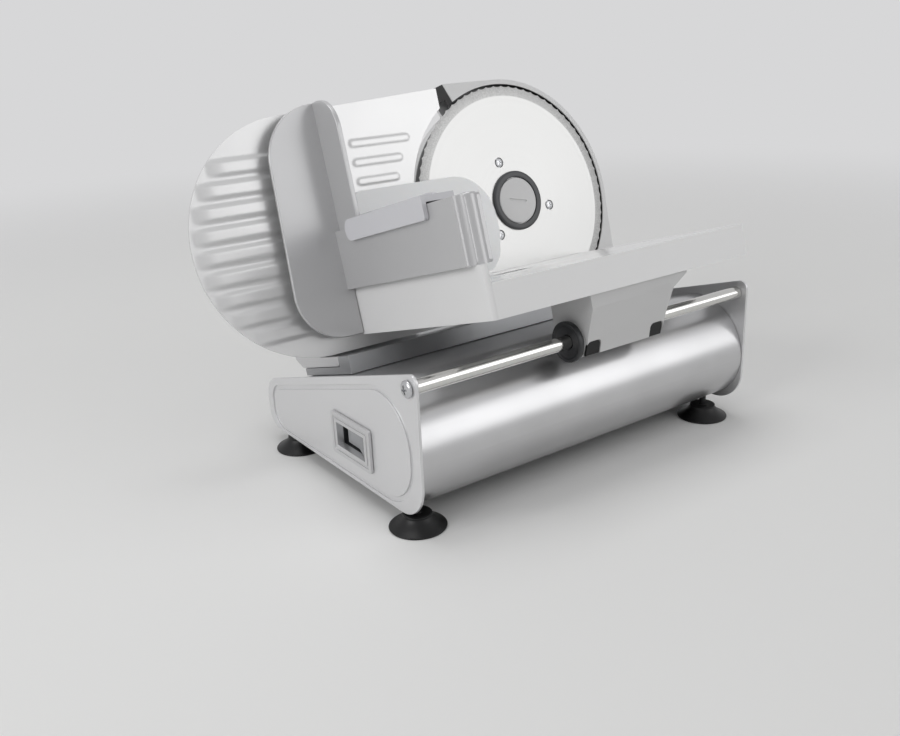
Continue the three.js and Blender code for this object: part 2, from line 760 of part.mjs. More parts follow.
// Worm drive: module, teeth and a single-start worm below the wheel
const gearModule = 1.25;
const wheelTeeth = 48;
const wheelWidth = 12;
const wheelRim = 5;
const wheelHub = 5;
const wheelPitchRadius = (gearModule * wheelTeeth) / 2;
const wormPitchRadius = wormDistance - wheelPitchRadius;
const toothHeight = gearModule * 0.8;
const toothDepth = gearModule * 1.1;
const toothTipHalf = gearModule * 0.36;
const toothRootHalf = gearModule * 0.92;
const threadRoot = 0.4;
const wormTurns = 5;
const wormSteps = 12;
const wormPitch = Math.PI * gearModule;
const wormCoreHalf = 13;

function makeWormWheel() {
  const tip = wheelPitchRadius + toothHeight;
  const root = wheelPitchRadius - toothDepth;
  const tooth = [[root, -toothRootHalf], [tip, -toothTipHalf], [tip, toothTipHalf], [root, toothRootHalf]];
  const outline = [];
  for (let i = 0; i < wheelTeeth; i += 1) {
    const middle = ((i + 0.5) * 2 * Math.PI) / wheelTeeth - Math.PI / 2;
    tooth.forEach(([radius, half]) => {
      const angle = middle + half / radius;
      outline.push([radius * Math.cos(angle), radius * Math.sin(angle)]);
    });
  }
  const geometry = extruded(outline, wheelWidth);
  geometry.applyMatrix4(new THREE.Matrix4().makeBasis(axisX, axisZ, axisY.clone().negate()));
  geometry.translate(0, wheelWidth / 2, 0);
  const place = geometry.attributes.position;
  const turnPerLength = wormPitch / (2 * Math.PI * wormPitchRadius * wheelPitchRadius);
  for (let i = 0; i < place.count; i += 1) {
    const point = new THREE.Vector3().fromBufferAttribute(place, i);
    point.applyAxisAngle(axisY, point.y * turnPerLength);
    place.setXYZ(i, point.x, point.y, point.z);
  }
  const teeth = toSolid(geometry.translate(bladeX, wheelV, bladeW));
  const rim = wheelPitchRadius - wheelRim;
  const hub = spindleRadius + wheelHub;
  const cuts = [-1, 1].map((side) => {
    const deep = wheelV + (side * wheelWidth) / 6;
    const out = wheelV + side * (wheelWidth / 2 + overrun);
    return turned(ringProfile(hub, rim, Math.min(deep, out), Math.max(deep, out)), "y", [bladeX, 0, bladeW]);
  });
  const bore = barV(spindleRadius, wheelV - wheelWidth, wheelV + wheelWidth, bladeX, bladeW);
  return cutAll(teeth, [...cuts, bore]);
}
piece("worm_wheel", makeWormWheel(), whitePlastic, tilted);

// A single thread of trapezoid section wound on the worm shaft
function makeThread() {
  const low = wormPitchRadius - toothDepth - threadRoot;
  const high = wormPitchRadius + toothHeight;
  const section = [[low, -toothRootHalf], [low, toothRootHalf], [high, toothTipHalf], [high, -toothTipHalf]];
  const count = wormTurns * wormSteps;
  const positions = [];
  for (let i = 0; i <= count; i += 1) {
    const turns = i / wormSteps - wormTurns / 2;
    const angle = 2 * Math.PI * turns + Math.PI / 2;
    section.forEach(([radius, offset]) => {
      positions.push(bladeX + turns * wormPitch + offset, wheelV + radius * Math.cos(angle),
        wormW + radius * Math.sin(angle));
    });
  }
  const index = [0, 2, 1, 0, 3, 2];
  const last = count * section.length;
  index.push(last, last + 1, last + 2, last, last + 2, last + 3);
  for (let i = 0; i < count; i += 1) {
    section.forEach((_, k) => {
      const a = i * section.length + k;
      const b = i * section.length + ((k + 1) % section.length);
      index.push(a, b, a + section.length, b, b + section.length, a + section.length);
    });
  }
  const geometry = new THREE.BufferGeometry();
  geometry.setAttribute("position", new THREE.Float32BufferAttribute(positions, 3));
  geometry.setIndex(index);
  return toSolid(geometry);
}

const shaftFromX = 223.5;
const shaftToX = 338.5;
function makeWormShaft() {
  const coreRadius = wormPitchRadius - toothDepth;
  const core = barX(coreRadius, bladeX - wormCoreHalf, bladeX + wormCoreHalf, wheelV, wormW);
  return addAll([barX(shaftRadius - gap, shaftFromX, shaftToX, wheelV, wormW), core, makeThread()]);
}
piece("worm_shaft", makeWormShaft(), steel, tilted);

// Motor: slotted armature, commutator, fan, field and bushes
const slotCount = 12;
const armatureRadius = 16.4;
const armatureInset = 2;
const slotDepth = 4;
const slotHalf = 1.4;
const windingGap = 0.5;
const windingBulge = 1;
const windingRound = 2;
function makeArmature() {
  const outline = [];
  const low = armatureRadius - slotDepth;
  const half = slotHalf / armatureRadius;
  const tooth = (2 * Math.PI) / slotCount - 2 * half;
  const corners = [[low, -half], [low, half], [armatureRadius, half], [armatureRadius, half + tooth / 2],
    [armatureRadius, half + tooth]];
  for (let i = 0; i < slotCount; i += 1) {
    const start = (i * 2 * Math.PI) / slotCount;
    corners.forEach(([radius, angle]) => {
      outline.push([wheelV + radius * Math.cos(start + angle), wormW + radius * Math.sin(start + angle)]);
    });
  }
  const core = alongX(outline, fieldFromX + armatureInset, fieldToX - armatureInset);
  const winding = low - windingGap;
  const crown = winding - windingRound;
  const from = fieldFromX + windingBulge;
  const to = fieldToX - windingBulge;
  const profile = [[0, from - windingRound], [crown, from - windingRound], [winding, from], [winding, to],
    [crown, to + windingRound], [0, to + windingRound]];
  const coils = turned(profile, "x", [0, wheelV, wormW]);
  return core.add(coils).subtract(barX(shaftRadius, fieldFromX - overrun, fieldToX + overrun, wheelV, wormW));
}
piece("armature_core", makeArmature(), copper, tilted);

const commutatorRadius = 9;
const commutatorLength = 10;
const commutatorGap = 2;
const commutatorFromX = fieldToX + commutatorGap;
const commutatorToX = commutatorFromX + commutatorLength;
piece("commutator", turned(ringProfile(shaftRadius, commutatorRadius, commutatorFromX, commutatorToX), "x",
  [0, wheelV, wormW]), copper, tilted);

const fanLength = 6.5;
const fanGap = 2;
const fanRadius = 18;
const fanHub = 4;
const fanDisc = 1.5;
const fanVane = 1.4;
const fanBlades = 9;
const fanToX = fieldFromX - fanGap;
const fanFromX = fanToX - fanLength;
function makeFan() {
  const centre = [0, wheelV, wormW];
  const hub = turned(ringProfile(shaftRadius, shaftRadius + fanHub, fanFromX, fanToX), "x", centre);
  const disc = turned(ringProfile(shaftRadius, fanRadius, fanToX - fanDisc, fanToX), "x", centre);
  const root = shaftRadius + fanHub / 2;
  const reach = fanRadius - root - fanVane / 2;
  const blades = Array.from({ length: fanBlades }, (_, i) => {
    const vane = new THREE.BoxGeometry(fanLength - fanDisc, reach, fanVane);
    vane.translate((fanFromX + fanToX) / 2, root + reach / 2, 0);
    vane.rotateX((i * 2 * Math.PI) / fanBlades);
    return toSolid(vane.translate(0, wheelV, wormW));
  });
  return addAll([hub, disc, ...blades]);
}
piece("cooling_fan", makeFan(), whitePlastic, tilted);

const fieldBoreGap = 0.6;
const fieldWindowHalf = 8;
const fieldWindowIn = 6;
const fieldWindowOut = 5;
function makeField() {
  const bore = armatureRadius + fieldBoreGap;
  const ring = alongX(circle(wheelV, wormW, fieldRadius), fieldFromX, fieldToX, [
    circle(wheelV, wormW, bore),
  ]);
  const windows = [-1, 1].map((side) => {
    const near = side * (bore - fieldWindowIn);
    const far = side * (bore + fieldWindowOut);
    return block(fieldFromX - overrun, fieldToX + overrun, wheelV - fieldWindowHalf, wheelV + fieldWindowHalf,
      wormW + Math.min(near, far), wormW + Math.max(near, far));
  });
  return cutAll(ring, windows);
}
piece("motor_field", makeField(), steel, tilted);

["worm_end", "middle", "rear"].forEach((place, i) => {
  const from = bushPlaces[i];
  piece(`motor_bush_${place}`, turned(ringProfile(shaftRadius, bushRadius, from, from + bushLength), "x",
    [0, wheelV, wormW]), brass, tilted);
});

const brushLength = 11;
const brushHalfWidth = 3;
const brushHalfHeight = 2.5;
[["front", -1], ["rear", 1]].forEach(([place, side]) => {
  const near = wheelV + side * (commutatorRadius + gap);
  const far = near + side * brushLength;
  const middle = (commutatorFromX + commutatorToX) / 2;
  piece(`brush_${place}`, block(middle - brushHalfWidth, middle + brushHalfWidth, Math.min(near, far),
    Math.max(near, far), wormW - brushHalfHeight, wormW + brushHalfHeight), carbon, tilted);
});

// Gauge slide: plate and carrier move back by the travel while the knob turns the cam
const gaugeTravel = 15;
const sweepGap = 1.5;
const gaugeFrontV = -1;
const gaugeThickness = 2;
const gaugeCarrierThickness = 5;
const carrierFromV = gaugeFrontV + gaugeThickness + gap;
const carrierBackV = carrierFromV + gaugeCarrierThickness;
const camTurn = 300;
const camPinRadius = 1.75;
const camShaftRadius = 4;
const camShaftReach = 14;
const camThickness = 5.2;
const camGrooveDepth = 3;
const camRim = 3.75;
const grooveInnerRadius = 6.25;
const grooveOuterRadius = grooveInnerRadius + gaugeTravel;
const camRadius = grooveOuterRadius + camRim;
const camBoreRadius = camRadius + 2 * gap;
const barrelWall = 2.9;
const barrelRadius = camBoreRadius + barrelWall;
const barrelFrontV = gaugeFrontV + gaugeThickness + gaugeTravel + sweepGap;
const barrelLift = 14.2;
const knobV = barrelFrontV + barrelRadius;
const knobW = platformTopW + gap + barrelLift + barrelRadius;
const pinV = knobV - grooveOuterRadius;

// Gauge tower: a box behind the gauge plate, a barrel for the cam and a skirt beside the platform
const towerWall = 3;
const towerLeftX = platformLeftX;
const towerWidth = 90;
const towerRightX = towerLeftX + towerWidth;
const towerClearance = 3.7;
const towerFrontV = carrierBackV + gaugeTravel + towerClearance;
const towerDepth = 45;
const towerBackV = towerFrontV + towerDepth;
const towerHeadroom = 4.5;
const towerTopW = knobW + barrelRadius + towerHeadroom;
const towerCornerRadius = 8;
const towerFootW = platformTopW + gap;
const camFromX = towerLeftX + towerWall + 2 * gap;
const camToX = camFromX + camThickness;
const armGap = 0.8;
const armWidth = 5.4;
const armHalfHeight = 4.5;
const armFromX = camToX + armGap;
const armToX = armFromX + armWidth;
const barrelReach = 6;
const barrelRightX = armToX + barrelReach;
const carrierGap = 4;
const carrierLeftX = barrelRightX + carrierGap;
const carrierRightX = towerRightX - towerWall;
const carrierLift = 8;
const carrierTopDrop = 2;
const carrierBottomW = platformTopW + carrierLift;
const carrierTopW = towerTopW - carrierTopDrop;
const carrierCornerRadius = 6;
const gaugeRodRadius = 4;
const gaugeRodInsetX = 12;
const gaugeRodInsetW = 10;
const gaugeRodPlaces = [
  [carrierLeftX + gaugeRodInsetX, carrierBottomW + gaugeRodInsetX],
  [carrierRightX - gaugeRodInsetX, carrierTopW - gaugeRodInsetW],
];
const gaugeBossRadius = 8;
const gaugeBossLength = 17;
const gaugeBossEnd = towerFrontV + gaugeBossLength;
const gaugeRodSeat = 1.7;
const gaugeRodLength = 38;
const gaugeRodFromV = carrierFromV + gaugeRodSeat;
const skirtEndInset = 10;
const skirtToeRadius = 3;
const skirtHeelRadius = 4;

// The skirt covers the left end of the platform and closes the tower's foot
function makeSkirt() {
  const top = towerFootW + towerWall;
  const rise = towerFootW - towerWall / 3;
  const outline = rounded([
    [skirtFrontV, skirtBottomW, skirtToeRadius],
    [towerBackV - skirtEndInset, skirtBottomW, skirtHeelRadius],
    [towerBackV, rise, 0],
    [towerBackV, top, 0],
    [towerFrontV, top, 0],
    [towerFrontV, platformTopW, 0],
    [skirtFrontV, platformTopW, 0],
  ]);
  return alongX(outline, towerLeftX, towerLeftX + skirtThickness);
}

function makeTower() {
  const outline = rectangle(towerLeftX, towerRightX, towerFootW, towerTopW, towerCornerRadius);
  const box = alongV(outline, towerFrontV, towerBackV);
  const boxInside = block(towerLeftX + towerWall, towerRightX - towerWall, towerFrontV + towerWall,
    towerBackV + overrun, towerFootW + towerWall, towerTopW - towerWall);
  const barrelEnd = barrelRightX + towerWall;
  const fill = block(towerLeftX, barrelEnd, towerFrontV, towerBackV, towerFootW,
    towerTopW - towerCornerRadius);
  const barrel = barX(barrelRadius, towerLeftX, barrelRightX, knobV, knobW);
  const barrelInside = barX(camBoreRadius, towerLeftX + towerWall, barrelEnd + overrun, knobV, knobW);
  const shaftHole = barX(camShaftRadius + gap, towerLeftX - overrun, towerLeftX + overrun, knobV, knobW);
  const armSlot = block(armFromX - 2 * gap, barrelEnd + seatOverlap, barrelFrontV - overrun, knobV,
    knobW - armHalfHeight - 2 * gap, knobW + armHalfHeight + 2 * gap);
  const bosses = gaugeRodPlaces.map(([x, w]) => barV(gaugeBossRadius, towerFrontV, gaugeBossEnd, x, w));
  const bores = gaugeRodPlaces.map(([x, w]) =>
    barV(gaugeRodRadius + gap, towerFrontV - seatOverlap, gaugeBossEnd + seatOverlap, x, w));
  const hollow = addAll([box.subtract(boxInside), makeSkirt(), barrel, fill, ...bosses]);
  return cutAll(hollow, [barrelInside, shaftHole, armSlot, ...bores]);
}
piece("gauge_tower", makeTower(), silverPaint, tilted);

const towerCoverThickness = 2;
function makeTowerCover() {
  const left = barrelRightX + towerWall + gap;
  const right = towerRightX - towerWall - gap;
  const outline = rectangle(left, right, towerFootW + towerWall + gap, towerTopW - towerWall - gap);
  return alongV(outline, towerBackV - towerCoverThickness, towerBackV);
}
piece("tower_cover", makeTowerCover(), darkPlastic, tilted);

// Gauge plate: formed sheet with two fields of ribs and an edge round the blade
const gaugeArcX = 55.5;
const gaugeArcRadius = 87.7;
const gaugeBladeGap = 5;
const gaugeLift = 1.5;
const gaugeBottomW = platformTopW + gaugeLift;
const gaugeArcW = gaugeBottomW + gaugeArcRadius;
const gaugeTopRightX = 190;
const gaugeTopRightW = 297;
const gaugeTopAngle = 93.5;
const gaugeCutAngle = 123.5;
const gaugeLipX = 3.5;
const gaugeLipW = 3;
const bladeEdgeRadius = bladeRadius + gaugeBladeGap;
const ribHeight = 1.3;
const ribCapSteps = 3;
const ribSides = 10;
const leftRibCount = 9;
const leftRibTopShare = 0.642;
const leftRibBottomShare = 0.7265;
const leftRibHalfWidth = 4.6;
const leftRibEndX = 92;
const leftRibMargin = 5;
const rightRibCount = 3;
const rightRibTopLift = 5.2;
const rightRibPitch = 14.2;
const rightRibHalfWidth = 3.7;
const rightRibStartX = 104;
const rightRibMargin = 12.8;

function gaugeOutline() {
  const bottomAngle = 180 + THREE.MathUtils.radToDeg(Math.asin((bladeW - gaugeBottomW) / bladeEdgeRadius));
  const cut = THREE.MathUtils.degToRad(gaugeCutAngle);
  const lipX = bladeX + bladeEdgeRadius * Math.cos(cut) + gaugeLipX;
  const lipW = bladeW + bladeEdgeRadius * Math.sin(cut) + gaugeLipW;
  return [
    ...arcPoints(gaugeArcX, gaugeArcW, gaugeArcRadius, gaugeTopAngle, 270),
    ...arcPoints(bladeX, bladeW, bladeEdgeRadius, bottomAngle, gaugeCutAngle),
    [lipX, lipW],
    [gaugeTopRightX, gaugeTopRightW],
  ];
}

function makeRib(fromX, toX, w, halfWidth) {
  const rib = new THREE.CapsuleGeometry(halfWidth, toX - fromX - 2 * halfWidth, ribCapSteps, ribSides);
  rib.rotateZ(Math.PI / 2);
  rib.scale(1, ribHeight / halfWidth, 1);
  return toSolid(rib.translate((fromX + toX) / 2, gaugeFrontV, w));
}

// Half the width of a circle at a height from its middle
function halfChord(radius, height) {
  return Math.sqrt(radius ** 2 - height ** 2);
}

function makeGauge() {
  const sheet = alongV(gaugeOutline(), gaugeFrontV, gaugeFrontV + gaugeThickness);
  const leftTop = gaugeArcRadius * leftRibTopShare;
  const leftPitch = (gaugeArcRadius * (leftRibTopShare + leftRibBottomShare)) / (leftRibCount - 1);
  const leftRibs = Array.from({ length: leftRibCount }, (_, i) => {
    const rise = leftTop - i * leftPitch;
    const reach = halfChord(gaugeArcRadius - leftRibMargin, rise);
    return makeRib(gaugeArcX - reach, leftRibEndX, gaugeArcW + rise, leftRibHalfWidth);
  });
  const rightTopW = gaugeArcW + leftTop + rightRibTopLift;
  const rightRibs = Array.from({ length: rightRibCount }, (_, i) => {
    const w = rightTopW - i * rightRibPitch;
    const endX = bladeX - halfChord(bladeEdgeRadius, w - bladeW) - rightRibMargin;
    return makeRib(rightRibStartX, endX, w, rightRibHalfWidth);
  });
  const back = block(gaugeArcX - 2 * gaugeArcRadius, bladeX, gaugeFrontV + gaugeThickness / 2, overrun, 0,
    bladeW + 2 * bladeRadius);
  return sheet.add(addAll([...leftRibs, ...rightRibs]).subtract(back));
}
piece("gauge_plate", makeGauge(), steel, tilted);

// Gauge carrier behind the plate, with the arm and the pin that ride in the cam
function makeGaugeCarrier() {
  const outline = rectangle(carrierLeftX, carrierRightX, carrierBottomW, carrierTopW, carrierCornerRadius);
  const plate = alongV(outline, carrierFromV, carrierBackV);
  const armBottom = knobW - armHalfHeight;
  const armTop = knobW + armHalfHeight;
  const across = block(armFromX, carrierLeftX + carrierGap, carrierFromV, carrierBackV, armBottom, armTop);
  const arm = block(armFromX, armToX, carrierFromV, pinV + armHalfHeight, armBottom, armTop);
  const pin = barX(camPinRadius, camToX - camGrooveDepth + gap, armFromX + seatOverlap, pinV, knobW);
  const bores = gaugeRodPlaces.map(([x, w]) =>
    barV(gaugeRodRadius + gap, gaugeRodFromV - gap, carrierBackV + seatOverlap, x, w));
  return cutAll(addAll([plate, across, arm, pin]), bores);
}
piece("gauge_carrier", makeGaugeCarrier(), darkPlastic, tilted);
["lower", "upper"].forEach((place, i) => {
  const [x, w] = gaugeRodPlaces[i];
  const rod = barV(gaugeRodRadius, gaugeRodFromV, gaugeRodFromV + gaugeRodLength, x, w);
  piece(`gauge_rod_${place}`, rod, steel, tilted);
});

// Cam disc with an Archimedean groove that runs on past both end positions
const grooveSteps = 24;
function spiralOutline() {
  const half = camPinRadius + gap;
  const overTurn = THREE.MathUtils.radToDeg((camPinRadius + 2 * gap) / grooveInnerRadius);
  const side = (offset) => Array.from({ length: grooveSteps + 1 }, (_, i) => {
    const turn = -overTurn + ((camTurn + 2 * overTurn) * i) / grooveSteps;
    const radius = grooveOuterRadius - (gaugeTravel * turn) / camTurn + offset;
    const angle = THREE.MathUtils.degToRad(180 - turn);
    return [knobV + radius * Math.cos(angle), knobW + radius * Math.sin(angle)];
  });
  return [...side(half), ...side(-half).reverse()];
}

function makeCam() {
  const disc = barX(camRadius, camFromX, camToX, knobV, knobW);
  const shaft = barX(camShaftRadius, towerLeftX - camShaftReach, camFromX + seatOverlap, knobV, knobW);
  const groove = alongX(spiralOutline(), camToX - camGrooveDepth, camToX + overrun);
  return disc.add(shaft).subtract(groove);
}
piece("cam_disc", makeCam(), whitePlastic, tilted);

const knobRadius = 24;
const knobSkirtRadius = 26;
const knobSkirtHeight = 4;
const knobEdge = 2;
const knobFluteCount = 14;
const knobFluteRadius = 4.3;
const knobFluteShare = 0.55;
const knobLength = 23;
function makeKnob() {
  const to = towerLeftX - 2 * gap;
  const from = to - knobLength;
  const skirtFrom = to - knobSkirtHeight;
  const profile = [[0, from], [knobRadius - knobEdge, from], [knobRadius, from + knobEdge],
    [knobRadius, skirtFrom], [knobSkirtRadius, skirtFrom], [knobSkirtRadius, to], [0, to]];
  const body = turned(profile, "x", [0, knobV, knobW]);
  const flutes = Array.from({ length: knobFluteCount }, (_, i) => {
    const angle = (2 * Math.PI * (i + 0.5)) / knobFluteCount;
    const reach = knobRadius + knobFluteRadius * knobFluteShare;
    return barX(knobFluteRadius, from - overrun, skirtFrom - knobEdge, knobV + reach * Math.cos(angle),
      knobW + reach * Math.sin(angle));
  });
  const bore = barX(camShaftRadius + gap, towerLeftX - camShaftReach - gap, to + overrun, knobV, knobW);
  return cutAll(body, [bore, ...flutes]);
}
piece("thickness_knob", makeKnob(), darkPlastic, tilted);

// Carriage tray: table with a slot, front strip, right end and the lower half of the left wall
const trayLeftX = 77;
const trayRightX = 309;
const trayFrontV = -175;
const trayBackV = -3;
const trayTopW = 146;
const traySheet = 2.5;
const trayCornerRadius = 3.5;
const stripHeight = 22.3;
const stripBottomW = trayTopW - stripHeight;
const guardV = -13.5;
const guardThickness = 3;
const endWallBackV = guardV + guardThickness;
const endWallLift = 6;
const wallSheet = 3;
const beamLift = 12;
const beamBottomW = trayTopW + beamLift;
const traySlotFromX = 163;
const traySlotLength = 30;
const traySlotFrontV = -75;
const traySlotWidth = 14;
const traySlotRadius = 4;

function trayPlan(inset) {
  return rounded([
    [trayLeftX + inset, trayFrontV + inset, trayCornerRadius - inset],
    [trayRightX - inset, trayFrontV + inset, 0],
    [trayRightX - inset, trayBackV - inset, 0],
    [trayLeftX + inset, trayBackV - inset, 0],
  ]);
}

function makeTray() {
  const slot = rectangle(traySlotFromX, traySlotFromX + traySlotLength, traySlotFrontV,
    traySlotFrontV + traySlotWidth, traySlotRadius);
  const table = alongW(trayPlan(0), trayTopW - traySheet, trayTopW, [slot]);
  const ring = alongW(trayPlan(0), stripBottomW, trayTopW, [trayPlan(traySheet)]);
  const rear = block(trayLeftX - overrun, trayRightX + overrun, endWallBackV, trayBackV + overrun,
    stripBottomW - overrun, trayTopW - traySheet);
  const underEnd = block(trayRightX - 2 * traySheet, trayRightX + overrun, trayFrontV + 2 * traySheet,
    trayBackV + overrun, stripBottomW - overrun, stripBottomW + endWallLift);
  const wallRing = alongW(trayPlan(0), stripBottomW, beamBottomW - gap, [trayPlan(wallSheet)]);
  const wallRoom = block(trayLeftX - overrun, trayLeftX + wallSheet, trayFrontV - overrun, endWallBackV,
    stripBottomW - overrun, beamBottomW);
  return addAll([table, cutAll(ring, [rear, underEnd]), wallRing.intersect(wallRoom)]);
}
piece("carriage_tray", makeTray(), lightPlastic, tilted);

// Thumb guard: rear plate, fin and the hollow beam with a flute and a column at its front end
const beamHeight = 42.5;
const beamTopW = beamBottomW + beamHeight;
const beamLeftX = 71;
const beamRightX = 89;
const beamSheet = 3;
const beamNose = 8;
const beamFrontV = -169.5;
const beamEdge = 2;
const fluteRadius = 4.5;
const fluteX = 72.5;
const fluteOut = 1;
const fluteV = beamFrontV - fluteOut;
const columnRadius = 6.5;
const columnX = 82;
const columnSet = 5;
const columnV = beamFrontV + columnSet;
const columnLift = 0.9;
const guardLeftX = 27.5;
const guardHeight = 92;
const guardTopW = beamTopW + guardHeight;
const guardShoulderDrop = 42;
const guardBottomRadius = 35;
const guardTopRadius = 42;
const guardShoulderRadius = 12;
const guardTipRadius = 6;
const guardTipInset = 6;
const guardTopLean = 7;
const finX = 75;
const finThickness = 3.5;
const finFootV = -41;
const finTopV = -42.5;
const finRadius = 24;
const guardLift = 1;
const guardBottomW = stripBottomW + guardLift;

function makeGuard() {
  const right = beamRightX - seatOverlap;
  const outline = rounded([
    [guardLeftX, guardBottomW, guardBottomRadius],
    [trayLeftX - gap, guardBottomW, 0],
    [trayLeftX - gap, beamBottomW, 0],
    [right, beamBottomW, 0],
    [right, guardTopW - guardShoulderDrop, guardShoulderRadius],
    [right - guardTipInset, guardTopW, guardTipRadius],
    [guardLeftX + guardTopLean, guardTopW, guardTopRadius],
  ]);
  const plate = alongV(outline, guardV, guardV + guardThickness);
  const fin = alongX(rounded([
    [guardV + seatOverlap, beamBottomW, 0],
    [finFootV, beamBottomW, 0],
    [finTopV, guardTopW, finRadius],
    [guardV + seatOverlap, guardTopW, 0],
  ]), finX, finX + finThickness);
  const beamSide = rectangle(beamFrontV, guardV + seatOverlap, beamBottomW, beamTopW, beamEdge);
  const beam = alongX(beamSide, beamLeftX, beamRightX);
  const hollow = block(beamLeftX + beamSheet, beamRightX - beamSheet, beamFrontV + beamNose,
    guardV - beamSheet, beamBottomW - overrun, beamTopW - beamSheet);
  const flute = barW(fluteRadius, beamBottomW - overrun, beamTopW + overrun, fluteX, fluteV);
  const columnTop = beamTopW + columnLift;
  const column = turned([[0, beamBottomW], [columnRadius, beamBottomW], [columnRadius, columnTop - beamEdge],
    [columnRadius - beamEdge, columnTop], [0, columnTop]], "z", [columnX, columnV, 0]);
  return addAll([plate, fin, cutAll(beam, [hollow, flute]), column]);
}
piece("thumb_guard", makeGuard(), greyPlastic, tilted);

// Slide bracket on the rod: a leaning face under the strip with a boss behind it
const bracketLeftX = 155;
const bracketLength = 66;
const bracketRightX = bracketLeftX + bracketLength;
const bracketTopW = stripBottomW - gap;
const bracketHeight = 39.4;
const bracketBottomW = bracketTopW - bracketHeight;
const bracketBossRadius = 12.5;
const bracketFrontV = -172;
const bracketDepth = 41;
const slideBushRadius = 7;
const slideBushLength = 12;
const slideFlange = 5;
const slideFlangeSeat = 2;
const slideFlangeRim = 2.5;
const slideFlangeRecess = 1.5;
const slideFlangeRadius = 14;
const hiddenFlangeRadius = 10.5;
const insertWidth = 12;
const insertHeight = 9;
const insertThickness = 2.2;
const insertSet = 0.5;
const insertInset = 1;
const insertReach = 6;
// Corners of the face as shares of its length and height, and of the side as shares of depth and height
const bracketFaceShares = [[0.03, 0], [0.03, 0.21], [0.008, 0.645], [0.023, 1], [1.09, 1], [1.114, 0.645],
  [1.173, 0.228], [1.402, 0.036], [1.41, 0]];
const bracketSideShares = [[0, 0], [0, 0.226], [0.34, 1], [0.66, 1], [1, 0.66], [1, 0]];

function bracketSide(margin) {
  return bracketSideShares.map(([back, down]) =>
    [bracketFrontV + back * bracketDepth + margin, bracketTopW - down * bracketHeight]).reverse();
}

function bracketLean(margin) {
  return alongX(bracketSide(margin), bracketLeftX - overrun, bracketLeftX + 2 * bracketLength);
}

// The room of an insert in a lower corner of the face, as deep as the insert is thick
function insertRoom(side, margin) {
  const corner = side < 0 ? bracketLeftX + insertInset : bracketRightX + insertReach - insertWidth;
  const room = block(corner - margin, corner + insertWidth + margin, bracketFrontV - overrun, rodV,
    bracketBottomW - overrun, bracketBottomW + insertHeight + margin);
  return room.subtract(bracketLean(insertSet + insertThickness + margin));
}

function makeBracket() {
  const faceOutline = bracketFaceShares.map(([across, down]) =>
    [bracketLeftX + across * bracketLength, bracketTopW - down * bracketHeight]).reverse();
  const face = alongV(faceOutline, bracketFrontV, bracketFrontV + bracketDepth);
  const boss = barX(bracketBossRadius, bracketLeftX, bracketRightX, rodV, rodW);
  return cutAll(face.intersect(bracketLean(0)).add(boss), [
    barX(slideBushRadius + gap, bracketLeftX - overrun, bracketRightX + overrun, rodV, rodW),
    barX(hiddenFlangeRadius + gap, bracketRightX, bracketLeftX + 2 * bracketLength, rodV, rodW),
    insertRoom(-1, gap),
    insertRoom(1, gap),
  ]);
}
piece("slide_bracket", makeBracket(), lightPlastic, tilted);

function makeSlideBush(side, flangeRadius) {
  const face = side < 0 ? bracketLeftX - gap : bracketRightX + gap;
  const bore = rodRadius + gap;
  const rim = flangeRadius - slideFlangeRim;
  const profile = [[bore, -slideBushLength], [slideBushRadius, -slideBushLength], [slideBushRadius, 0],
    [flangeRadius - slideFlangeSeat, 0], [flangeRadius, slideFlangeSeat], [flangeRadius, slideFlange],
    [rim, slideFlange], [rim - slideFlangeRecess, slideFlange - slideFlangeRecess],
    [bore, slideFlange - slideFlangeRecess], [bore, -slideBushLength]];
  const turn = profile.map(([radius, along]) => [radius, side * along]);
  return turned(side < 0 ? turn.reverse() : turn, "x", [face, rodV, rodW]);
}
piece("slide_bush_left", makeSlideBush(-1, slideFlangeRadius), darkPlastic, tilted);
piece("slide_bush_right", makeSlideBush(1, hiddenFlangeRadius), darkPlastic, tilted);

[["left", -1], ["right", 1]].forEach(([place, side]) => {
  piece(`bracket_insert_${place}`, insertRoom(side, 0).intersect(bracketLean(insertSet)), rubber, tilted);
});

// Pusher: spiked plate and the channel that rides on the beam
const pusherFrontV = -18;
const pusherThickness = 3;
const pusherLeftX = beamRightX + 2;
const pusherLift = 3;
const pusherBottomW = trayTopW + pusherLift;
const pusherWidth = 123;
const pusherHeight = 77;
const pusherTopRadius = 4;
const pusherFootRadius = 6;
// Corners of the plate and places of the spikes as shares of its width and height
const pusherEdgeShares = [[0.891, 0, pusherFootRadius], [0.965, 0.13, 0], [0.995, 0.34, 0], [1, 0.62, 0],
  [0.905, 1, pusherTopRadius]];
const spikeShares = [[0.15, 0.87], [0.33, 0.88], [0.51, 0.88], [0.69, 0.88], [0.85, 0.77], [0.91, 0.53],
  [0.9, 0.3]];
const spikeHeight = 3;
const spikeRadius = 1.3;
const spikeTipRadius = 0.3;
const spikeRoot = 0.5;

function makePusherPlate() {
  const outline = rounded([
    [pusherLeftX, pusherBottomW, pusherLift],
    ...pusherEdgeShares.map(([across, up, radius]) =>
      [pusherLeftX + across * pusherWidth, pusherBottomW + up * pusherHeight, radius]),
    [pusherLeftX, pusherBottomW + pusherHeight, pusherTopRadius],
  ]);
  const plate = alongV(outline, pusherFrontV, pusherFrontV + pusherThickness);
  const spikes = spikeShares.map(([across, up]) => {
    const root = pusherFrontV + pusherThickness - spikeRoot;
    const tip = root + spikeHeight;
    const profile = [[0, root], [spikeRadius, root], [spikeTipRadius, tip], [0, tip]];
    return turned(profile, "y", [pusherLeftX + across * pusherWidth, 0, pusherBottomW + up * pusherHeight]);
  });
  return addAll([plate, ...spikes]);
}
piece("pusher_plate", makePusherPlate(), whitePlastic, tilted);

